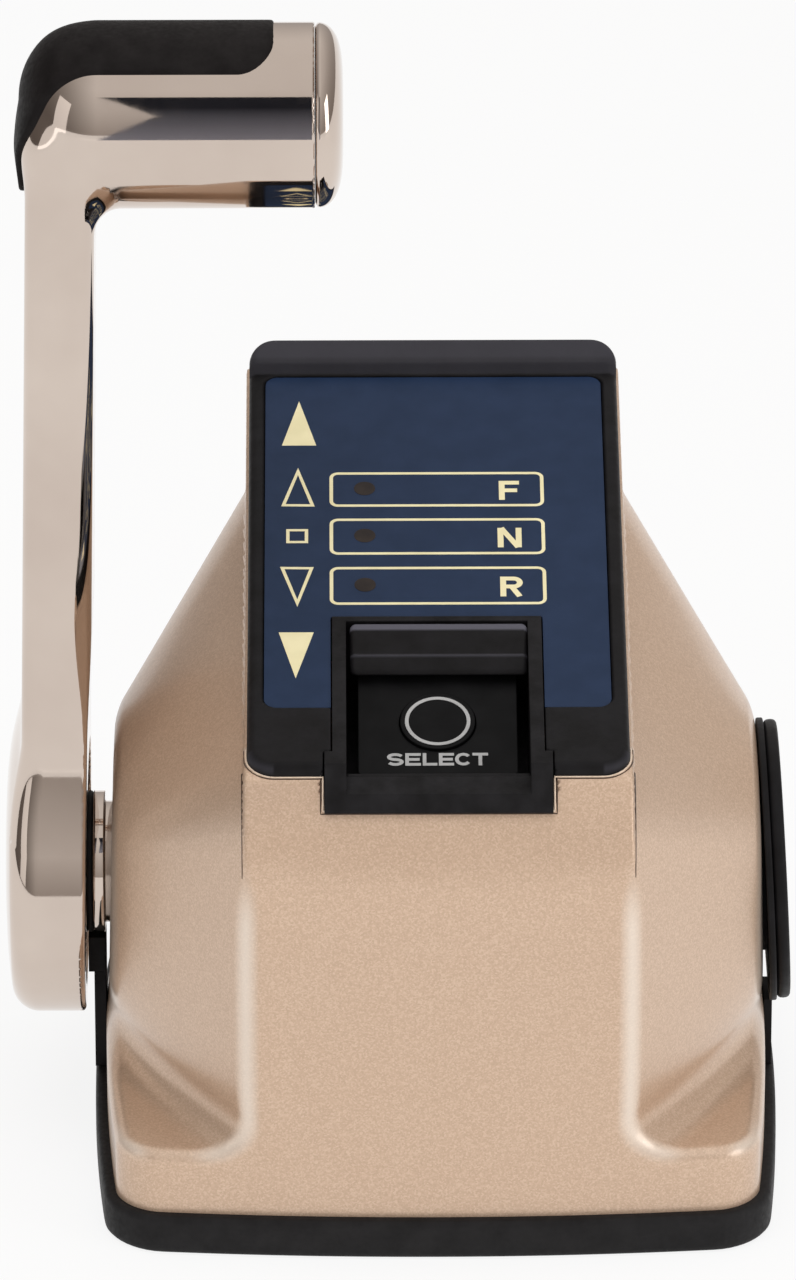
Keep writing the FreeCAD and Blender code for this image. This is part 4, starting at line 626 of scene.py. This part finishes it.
def bead(name, points, radius, material, flat):
    """Thin bead on the cover along points, flat times as high as it is wide."""
    points = np.asarray(points)
    ahead = np.gradient(points, axis=0)
    ahead /= np.linalg.norm(ahead, axis=1)[:, None]
    out = slope_at(cover_block, points, 0.5)
    out /= np.linalg.norm(out, axis=1)[:, None]
    side = np.cross(ahead, out)
    radii = np.broadcast_to(radius, len(points))
    turns = np.linspace(0, 2 * np.pi, 8, endpoint=False)
    rows = [point + r * (np.cos(turns)[:, None] * s + np.sin(turns)[:, None] * o * flat)
            for point, s, o, r in zip(points, side, out, radii)]
    mesh = ring_mesh(name, rows, closed=False)
    return make_object(name, mesh, "housing", material)


# The lip bead in lighter paint is a painted highlight; the seam bead beside it in dark paint is
# painted shade in the groove.
for name, grow, radius, flat, material in (("bezel_lip", 0.0, 0.22, 1.0, HIGHLIGHT_PAINT),
                                           ("bezel_groove_shade", 0.45, 0.13, 0.5, SHADE)):
    half = lip_route(grow)
    route = half + [(-x, angle) for x, angle in reversed(half[:-1])]
    bead(name, [on_cover(x, angle) for x, angle in route], radius, material, flat)
# Dark beads along the side creases: painted shade.
for side, mark in ((-1, "left"), (1, "right")):
    angles = np.linspace(math.radians(40.5), math.radians(23.5), 24)
    bead(f"crease_{mark}", [on_cover(side * 37.55, angle) for angle in angles],
         np.linspace(0.36, 0.1, 24), SHADE, 0.4)


# Rubber gasket round the base

def outline_points(grow):
    """Points of the base outline, grown by grow, found along rays from the middle."""
    angles = np.linspace(0, 2 * np.pi, OUTLINE_STEPS, endpoint=False)
    low, high = np.full(OUTLINE_STEPS, 30.0), np.full(OUTLINE_STEPS, 120.0)
    for _ in range(40):
        middle = (low + high) / 2
        outside = base_edge(middle * np.cos(angles), middle * np.sin(angles), grow) > 0
        high = np.where(outside, middle, high)
        low = np.where(outside, low, middle)
    return np.stack([low * np.cos(angles), low * np.sin(angles)], -1)


def gasket_rows():
    """Cross-section as (outwards from the base outline, height) pairs, run round the base."""
    profile = [(-10, 0.0), (1.0, 0.0), (1.7, 0.2), (2.15, 0.7), (2.3, 1.4), (2.3, 4.5),
               (2.25, 6.6), (2.05, 7.4), (1.6, 7.9), (0.9, 8.0), (-3.0, 8.0), (-3.9, 7.9),
               (-4.0, 2.0), (-10, 2.0)]
    return [np.column_stack([outline_points(grow), np.full(OUTLINE_STEPS, level)])
            for grow, level in profile]


make_object("gasket_band", ring_mesh("gasket_band", gasket_rows()), "housing",
            RUBBER, ["base_gasket"])


# Lever

def lever_form(points):
    """Hub, arm and grip in one casting; left is the distance left of the middle."""
    x, y, z = points[..., 0], points[..., 1], points[..., 2]
    left = -x
    up = z - AXIS
    reach = np.hypot(y, up)
    share = np.clip(up / 158.8, -0.3, 1.1)
    outer = 81.6 - 3.2 * share
    dome = 84.6 - 2.2 * (np.minimum(reach, 45) / HUB_RADIUS) ** 4
    inner = 68.6 - 2.8 * share - 0.7 * smooth_step(z, 84, 110)
    # outline from the side: a narrowing arm, the round hub and an arc of 60 mm that joins them
    y = np.abs(y)
    sheet = np.maximum(y - (21.5 - 8 * share), 45 - z)
    joint = np.maximum(60 - np.hypot(y - 79.49, up - 41.34), 0.4614 * y - 0.887 * up)
    joint = np.maximum(joint, up - 41.34 - 0.0504 * (y - 79.49))
    side = np.minimum(np.minimum(sheet, reach - HUB_RADIUS), joint)
    arm = round_both(side, left - soft_max(dome, outer, 2.0), 4.5)
    arm = round_both(arm, inner - left, 0.9 + 4.1 * smooth_step(z, 84, 112))
    # room for the neck boot behind the hub
    recess = np.maximum(reach - 24, left - 70.5)
    arm = round_both(np.maximum(arm, -recess), z - 214, 10.0)
    grip_reach = np.hypot(y, z - GRIP_HEIGHT)
    grip = round_both(grip_reach - GRIP_RADIUS, left - 78.6, 14.0)
    grip = np.maximum(grip, GRIP_END - left)
    lever = fillet_either(arm, grip, 5.0)
    return round_both(lever, GRIP_END - left, 0.6)


def pad_form(points):
    """Rubber inlay: a skin over the casting, along the grip's top and down the elbow."""
    x, y, z = points[..., 0], points[..., 1], points[..., 2]
    left = -x
    body = lever_form(points)
    proud = 0.4 + 0.8 * smooth_step(left, 66, 76)
    half = 12.1 - 5.6 * smooth_step(-z, -213, -198)
    end = round_both(np.abs(y) - half, 31 - left, 7.0)
    low = np.minimum(213 - z, 73 - left)
    end = np.maximum(end, low)
    end = round_both(end, 196.0 - z, 3.0)
    pad = round_both(body - proud, end, 0.6)
    return np.maximum(pad, -(body + 1.2))


formed("lever_body", lever_form, (-85, -31, 20), (-22, 31, 229), 0.8,
       "lever", STEEL, ["lever_arm"])
formed("grip_inlay", pad_form, (-82, -13, 193), (-29, 13, 229), 0.5,
       "lever", PAD, ["grip_pad"])


# Round pieces turned about a line along X

def turned(name, profile, body, material, nodes=(), centre=(0, 0, AXIS), lean=0.0):
    """profile holds (x, radius) pairs; the first and the last may lie on the line."""
    angles = np.linspace(0, 2 * np.pi, ROUND_STEPS, endpoint=False)
    rows = [np.column_stack([np.full(ROUND_STEPS, x), r * np.cos(angles), r * np.sin(angles)])
            for x, r in profile]
    turn = np.array(Matrix.Rotation(lean, 3, "Y"))
    rows = [row @ turn.T + np.array(centre) for row in rows]
    mesh = ring_mesh(name, rows, closed=False)
    return make_object(name, mesh, body, material, nodes)


def bevel_profile(corners, radius):
    """Rounds the corners of a profile with small arcs."""
    made = [corners[0]]
    for before, here, after in zip(corners, corners[1:], corners[2:]):
        here = Vector(here)
        a = Vector(before) - here
        b = Vector(after) - here
        reach = min(radius, a.length / 2.2, b.length / 2.2)
        a = here + a.normalized() * reach
        b = here + b.normalized() * reach
        for share in (0, 0.25, 0.5, 0.75, 1):
            point = a * (1 - share) ** 2 + here * 2 * share * (1 - share) + b * share ** 2
            made.append((point.x, point.y))
    made.append(corners[-1])
    return made


dome = [(-23.2, 0.01), (-23.2, 16.9), (-22.8, 17.6)]
for part in range(1, 25):
    angle = part / 24 * math.pi / 2
    dome.append((-22.6 + 4.8 * math.sin(angle), 17.72 * max(math.cos(angle), 1e-3) ** 0.42))
dome.append((-17.8, 0.01))
turned("grip_dome", dome, "lever", STEEL, ["grip_end_cap"],
       centre=(0, 0, GRIP_HEIGHT))

collar = [(-59, 7.3), (-59, 12), (-65.2, 12), (-65.2, 14), (-67.45, 14), (-67.45, 12.7),
          (-68.75, 12.7), (-68.75, 14), (-69.6, 14), (-69.6, 7.3), (-59, 7.3)]
turned("collar_ring", bevel_profile(collar, 0.25), "housing", STEEL,
       ["shaft_collar"])

cap_ring = [(0, 18.1), (0, 28.0), (1.4, 28.0), (1.4, 18.1), (0, 18.1)]
turned("cap_back", bevel_profile(cap_ring, 0.4), "housing", PLASTIC,
       ["side_cap_ring"], centre=SIDE_CAP, lean=CAP_LEAN)
cap = [(-5, 0.01), (-5, 18), (1.4, 18), (1.4, 27.6), (4.1, 27.6), (4.1, 0.01)]
turned("cap_face", bevel_profile(cap, 1.4), "housing", PLASTIC,
       ["side_cap"], centre=SIDE_CAP, lean=CAP_LEAN)


# Print on the indicator panel

def rounded(x0, y0, x1, y1, r, steps=6):
    points = []
    for cx, cy, start in ((x1 - r, y0 + r, -90), (x1 - r, y1 - r, 0), (x0 + r, y1 - r, 90),
                          (x0 + r, y0 + r, 180)):
        for step in range(steps + 1):
            angle = math.radians(start + 90 * step / steps)
            points.append((cx + r * math.cos(angle), cy + r * math.sin(angle)))
    return points


def slab(name, loops, low, high, place, material):
    """Flat print: one outline, or an outer and an inner one, raised from low to high."""
    points, faces = [], []
    outer = loops[0]
    count = len(outer)
    for level in (low, high):
        for loop in loops:
            points += [place(u, v, level) for u, v in loop]
    total = count * len(loops)
    if len(loops) == 1:
        faces.append([total + n for n in range(count)])
        faces.append([n for n in reversed(range(count))])
    else:
        for n in range(count):
            m = (n + 1) % count
            faces.append([total + n, total + m, total + count + m, total + count + n])
            faces.append([m, n, count + n, count + m])
            faces.append([count + m, count + n, total + count + n, total + count + m][::-1])
    for n in range(count):
        m = (n + 1) % count
        faces.append([n, m, total + m, total + n])
    mesh = mesh_from(name, points, faces)
    mesh.polygons.foreach_set("use_smooth", np.zeros(len(mesh.polygons), dtype=bool))
    return make_object(name, mesh, "housing", material)


def shrink(loop, inset):
    """Moves a convex outline inwards."""
    made = []
    count = len(loop)
    for n in range(count):
        before, here, after = (Vector(loop[k % count]) for k in (n - 1, n, n + 1))
        a, b = (here - before).normalized(), (after - here).normalized()
        normal = Vector((-a.y - b.y, a.x + b.x))
        normal /= max(normal.length, 1e-6)
        spread = max(normal.dot(Vector((-a.y, a.x))), 0.3)
        made.append(tuple(here + normal * inset / spread))
    return made


TOP = -0.4              # face of the overlay, below the bezel's
INK_RISE = 0.03         # print above what it lies on
INK_STEP = 0.004        # between two strokes that cross
INK = TOP + INK_RISE
triangles = {
    "mark_fast_ahead": ([(-30.1, 99.5), (-23.3, 99.5), (-26.7, 113.5)], False),
    "mark_ahead": ([(-30.2, 80.5), (-23.6, 80.4), (-26.9, 92.5)], True),
    "mark_astern": ([(-30.4, 61.8), (-27, 49.6), (-23.8, 61.7)], True),
    "mark_fast_astern": ([(-30.6, 41.9), (-27.3, 28.1), (-23.8, 41.9)], False),
}
for name, (corners, hollow) in triangles.items():
    loops = [corners, shrink(corners, 0.68)] if hollow else [corners]
    slab(name, loops, TOP - 0.02, INK, panel_point, CREAM)
square = [(-29.2, 69.1), (-24.9, 69.1), (-24.9, 73.4), (-29.2, 73.4)]
slab("mark_neutral", [square, shrink(square, 0.66)], TOP - 0.02, INK, panel_point,
     CREAM)

rows = {"F": (80.3, 91.0), "N": (65.5, 76.6), "R": (50.2, 61.7)}
for letter, (low, high) in rows.items():
    loop = rounded(-20.7, low, 21.5, high, 1.7)
    slab(f"frame_{letter}", [loop, shrink(loop, 0.7)], TOP - 0.02, INK, panel_point,
         CREAM)
    middle = (low + high) / 2 + 0.3
    spot = [(-13.8 + 2.1 * math.cos(a), middle + 2.1 * math.sin(a))
            for a in np.linspace(0, 2 * math.pi, 32, endpoint=False)]
    slab(f"lamp_{letter}", [spot], TOP - 0.02, INK + 0.02, panel_point, LENS)


def arc(cx, cy, rx, ry, first, last, steps=14):
    angles = np.radians(np.linspace(first, last, steps))
    return [(cx + rx * math.cos(a), cy + ry * math.sin(a)) for a in angles]


def strokes(letter, w, h, t):
    """Middle lines of a plain capital w wide and h high, drawn with a stroke t thick."""
    left, right, low, high, mid = t / 2, w - t / 2, t / 2, h - t / 2, h / 2
    stem = [(left, 0), (left, h)]
    bowl = h / 4 - t / 4
    drawn = {
        "F": [stem, [(left, high), (w, high)], [(left, mid), (0.9 * w, mid)]],
        "N": [stem, [(right, 0), (right, h)], [(0.6 * t, h), (w - 0.6 * t, 0)]],
        "R": [stem,
              [(left, high)] + arc(right - bowl, high - bowl, bowl, bowl, 90, -90) + [(left, mid)],
              [(0.5 * w, mid), (w - 0.55 * t, 0)]],
        "S": [arc(w / 2, high - bowl, right - w / 2, bowl, 20, 270) +
              arc(w / 2, low + bowl, right - w / 2, bowl, 90, -160)[1:]],
        "E": [stem, [(left, high), (w, high)], [(left, mid), (0.92 * w, mid)],
              [(left, low), (w, low)]],
        "L": [stem, [(left, low), (w, low)]],
        "C": [arc(w / 2, mid, right - w / 2, high - mid, 38, 322, 24)],
        "T": [[(0, high), (w, high)], [(w / 2, 0), (w / 2, high)]],
    }
    return drawn[letter]


def lettering(name, words, corner, height, thick, place, material):
    """Capitals from their strokes: words holds (letter, start, width) along the line."""
    points, faces = [], []
    level = INK_RISE
    for letter, start, width in words:
        for line in strokes(letter, width, height, thick):
            level += INK_STEP
            line = [Vector(p) for p in line]
            first = len(points)
            for n, here in enumerate(line):
                before, after = line[max(n - 1, 0)], line[min(n + 1, len(line) - 1)]
                ahead = ((here - before).normalized() + (after - here).normalized()).normalized()
                run = (after - here if after != here else here - before).normalized()
                stretch = max(ahead.dot(run), 0.5)
                side = Vector((-ahead.y, ahead.x)) * thick / 2 / stretch
                for spot in (here + side, here - side):
                    points.append(place(corner[0] + start + spot.x, corner[1] + spot.y, level))
            faces += [[first + 2 * n + 1, first + 2 * n + 3, first + 2 * n + 2, first + 2 * n]
                      for n in range(len(line) - 1)]
    mesh = mesh_from(name, points, faces)
    mesh.polygons.foreach_set("use_smooth", np.zeros(len(mesh.polygons), dtype=bool))
    return make_object(name, mesh, "housing", material)


def on_overlay(u, v, w):
    return panel_point(u, v, TOP + w)


# corner, width and height of each letter
letters = {"F": (12.65, 82.3, 4.0, 5.9), "N": (12.2, 67.6, 4.7, 6.0), "R": (12.5, 52.6, 4.4, 6.0)}
for letter, (u, v, width, height) in letters.items():
    lettering(f"letter_{letter}", [(letter, 0, width)], (u, v), height, 1.15, on_overlay,
              CREAM)
word = list(zip("SELECT", (0, 3.5, 6.85, 9.95, 13.05, 16.4), (3.2, 3.0, 2.8, 2.9, 3.2, 3.0)))
lettering("word_select", word, (-9.8, -11.15), 3.25, 0.7, key_point, PALE)

outer = [(6.3 * math.cos(a), 6.3 * math.sin(a))
         for a in np.linspace(0, 2 * math.pi, 72, endpoint=False)]
ring = slab("select_ring", [outer, shrink(outer, 0.7)], 0.4, 0.58, key_point, PALE)
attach(ring, "select_key")


# Floor, light and camera

def stage_plane(name, corners, material):
    mesh = bpy.data.meshes.new(name)
    mesh.from_pydata(corners, [], [list(range(len(corners)))])
    plane = bpy.data.objects.new(name, mesh)
    bpy.context.scene.collection.objects.link(plane)
    mesh.materials.append(material)
    return plane


def floor_material():
    """Pale floor, nearly white to camera, glossy and transmission rays, with the shadow kept."""
    material = bpy.data.materials.new("studio_floor")
    material.use_nodes = True
    tree = material.node_tree
    shader = tree.nodes["Principled BSDF"]
    shader.inputs["Base Color"].default_value = (0.86, 0.86, 0.86, 1)
    shader.inputs["Roughness"].default_value = 0.7
    shader.inputs["Specular IOR Level"].default_value = 0.2
    glow = tree.nodes.new("ShaderNodeEmission")
    glow.inputs["Color"].default_value = (1, 1, 1, 1)
    path = tree.nodes.new("ShaderNodeLightPath")
    seen = path.outputs["Is Camera Ray"]
    for ray in ("Is Glossy Ray", "Is Transmission Ray"):
        either = tree.nodes.new("ShaderNodeMath")
        either.operation = "MAXIMUM"
        tree.links.new(seen, either.inputs[0])
        tree.links.new(path.outputs[ray], either.inputs[1])
        seen = either.outputs[0]
    share = tree.nodes.new("ShaderNodeMath")
    share.operation = "MULTIPLY"
    share.inputs[1].default_value = 0.86
    tree.links.new(seen, share.inputs[0])
    mix = tree.nodes.new("ShaderNodeMixShader")
    tree.links.new(share.outputs[0], mix.inputs["Fac"])
    tree.links.new(shader.outputs[0], mix.inputs[1])
    tree.links.new(glow.outputs[0], mix.inputs[2])
    tree.links.new(mix.outputs[0], tree.nodes["Material Output"].inputs["Surface"])
    return material


stage_plane("floor", [(-4, -4, 0), (4, -4, 0), (4, 4, 0), (-4, 4, 0)], floor_material())


def dark_card():
    """Dark card before the grip, seen only in reflections, with a notch at its left edge."""
    material = bpy.data.materials.new("studio_card")
    material.use_nodes = True
    tree = material.node_tree
    shader = tree.nodes["Principled BSDF"]
    shader.inputs["Specular IOR Level"].default_value = 0.0
    place = tree.nodes.new("ShaderNodeTexCoord").outputs["Generated"]
    split = tree.nodes.new("ShaderNodeSeparateXYZ")
    fade = tree.nodes.new("ShaderNodeValToRGB")
    tree.links.new(place, split.inputs[0])
    tree.links.new(split.outputs["Z"], fade.inputs["Fac"])
    tree.links.new(fade.outputs[0], shader.inputs["Base Color"])
    low, high = fade.color_ramp.elements
    low.position, low.color = 0.0, (0.42, 0.47, 0.6, 1)
    high.position, high.color = 0.7, (0.03, 0.035, 0.05, 1)
    corners = [(-0.068, -0.17, 0.188), (-0.018, -0.17, 0.188), (-0.018, -0.15, 0.35),
               (-0.068, -0.15, 0.35), (-0.056, -0.16, 0.27)]
    card = stage_plane("card", corners, material)
    card.visible_camera = card.visible_diffuse = card.visible_shadow = False


dark_card()


def lamp(name, place, aim, width, height, power, mirrored=True):
    data = bpy.data.lights.new(name, "AREA")
    data.shape = "RECTANGLE"
    data.size = width
    data.size_y = height
    data.energy = power
    holder = bpy.data.objects.new(name, data)
    holder.location = place
    holder.rotation_euler = (Vector(aim) - Vector(place)).to_track_quat("-Z", "Y").to_euler()
    holder.visible_glossy = mirrored
    bpy.context.scene.collection.objects.link(holder)


lamp("top_box", (0.0, -0.15, 1.5), (0, 0, 0.1), 1.5, 1.1, 10.5, mirrored=False)
lamp("left_box", (-1.3, -0.7, 0.5), (0, 0, 0.08), 0.6, 0.9, 1.2)
lamp("right_box", (1.3, -0.7, 0.5), (0, 0, 0.08), 0.6, 0.9, 4.2)
lamp("low_strip", (0.0, -1.6, 0.17), (0, 0, 0.06), 1.6, 0.34, 5.2, mirrored=False)


def studio_world():
    """Pale room, brighter overhead and dimmer to the sides."""
    world = bpy.data.worlds.new("studio")
    bpy.context.scene.world = world
    world.use_nodes = True
    tree = world.node_tree
    link = tree.links.new
    way = tree.nodes.new("ShaderNodeTexCoord").outputs["Generated"]
    split = tree.nodes.new("ShaderNodeSeparateXYZ")
    link(way, split.inputs[0])
    height = tree.nodes.new("ShaderNodeValToRGB")
    elements = height.color_ramp.elements
    elements[0].position, elements[0].color = 0.0, (0.44, 0.41, 0.39, 1)
    elements[1].position, elements[1].color = 0.8, (0.78, 0.76, 0.74, 1)
    link(split.outputs["Z"], height.inputs["Fac"])
    across = tree.nodes.new("ShaderNodeMapRange")
    across.inputs["From Min"].default_value = -1.0
    link(split.outputs["X"], across.inputs["Value"])
    sides = tree.nodes.new("ShaderNodeValToRGB")
    elements = sides.color_ramp.elements
    elements[0].color = (0.3, 0.28, 0.27, 1)
    elements[1].color = (0.62, 0.6, 0.59, 1)
    middle = elements.new(0.5)
    middle.color = (1, 1, 1, 1)
    link(across.outputs[0], sides.inputs["Fac"])
    room = tree.nodes.new("ShaderNodeMix")
    room.data_type = "RGBA"
    room.blend_type = "MULTIPLY"
    room.inputs["Factor"].default_value = 1.0
    link(height.outputs[0], room.inputs[6])
    link(sides.outputs[0], room.inputs[7])
    link(room.outputs[2], tree.nodes["Background"].inputs["Color"])


studio_world()

AZIMUTH, ELEVATION = math.radians(-0.4), math.radians(25)
DISTANCE = 2.0
away = Vector((math.sin(AZIMUTH) * math.cos(ELEVATION),
               -math.cos(AZIMUTH) * math.cos(ELEVATION), math.sin(ELEVATION)))
data = bpy.data.cameras.new("camera")
data.sensor_width = 36
data.lens = 281.25
data.clip_end = 20
camera = bpy.data.objects.new("camera", data)
camera.location = Vector((-7.1, 38.0, 81.3)) * MM + away * DISTANCE
camera.rotation_euler = (-away).to_track_quat("-Z", "Y").to_euler()
bpy.context.scene.collection.objects.link(camera)
bpy.context.scene.camera = camera
bpy.context.scene.view_settings.view_transform = "Standard"
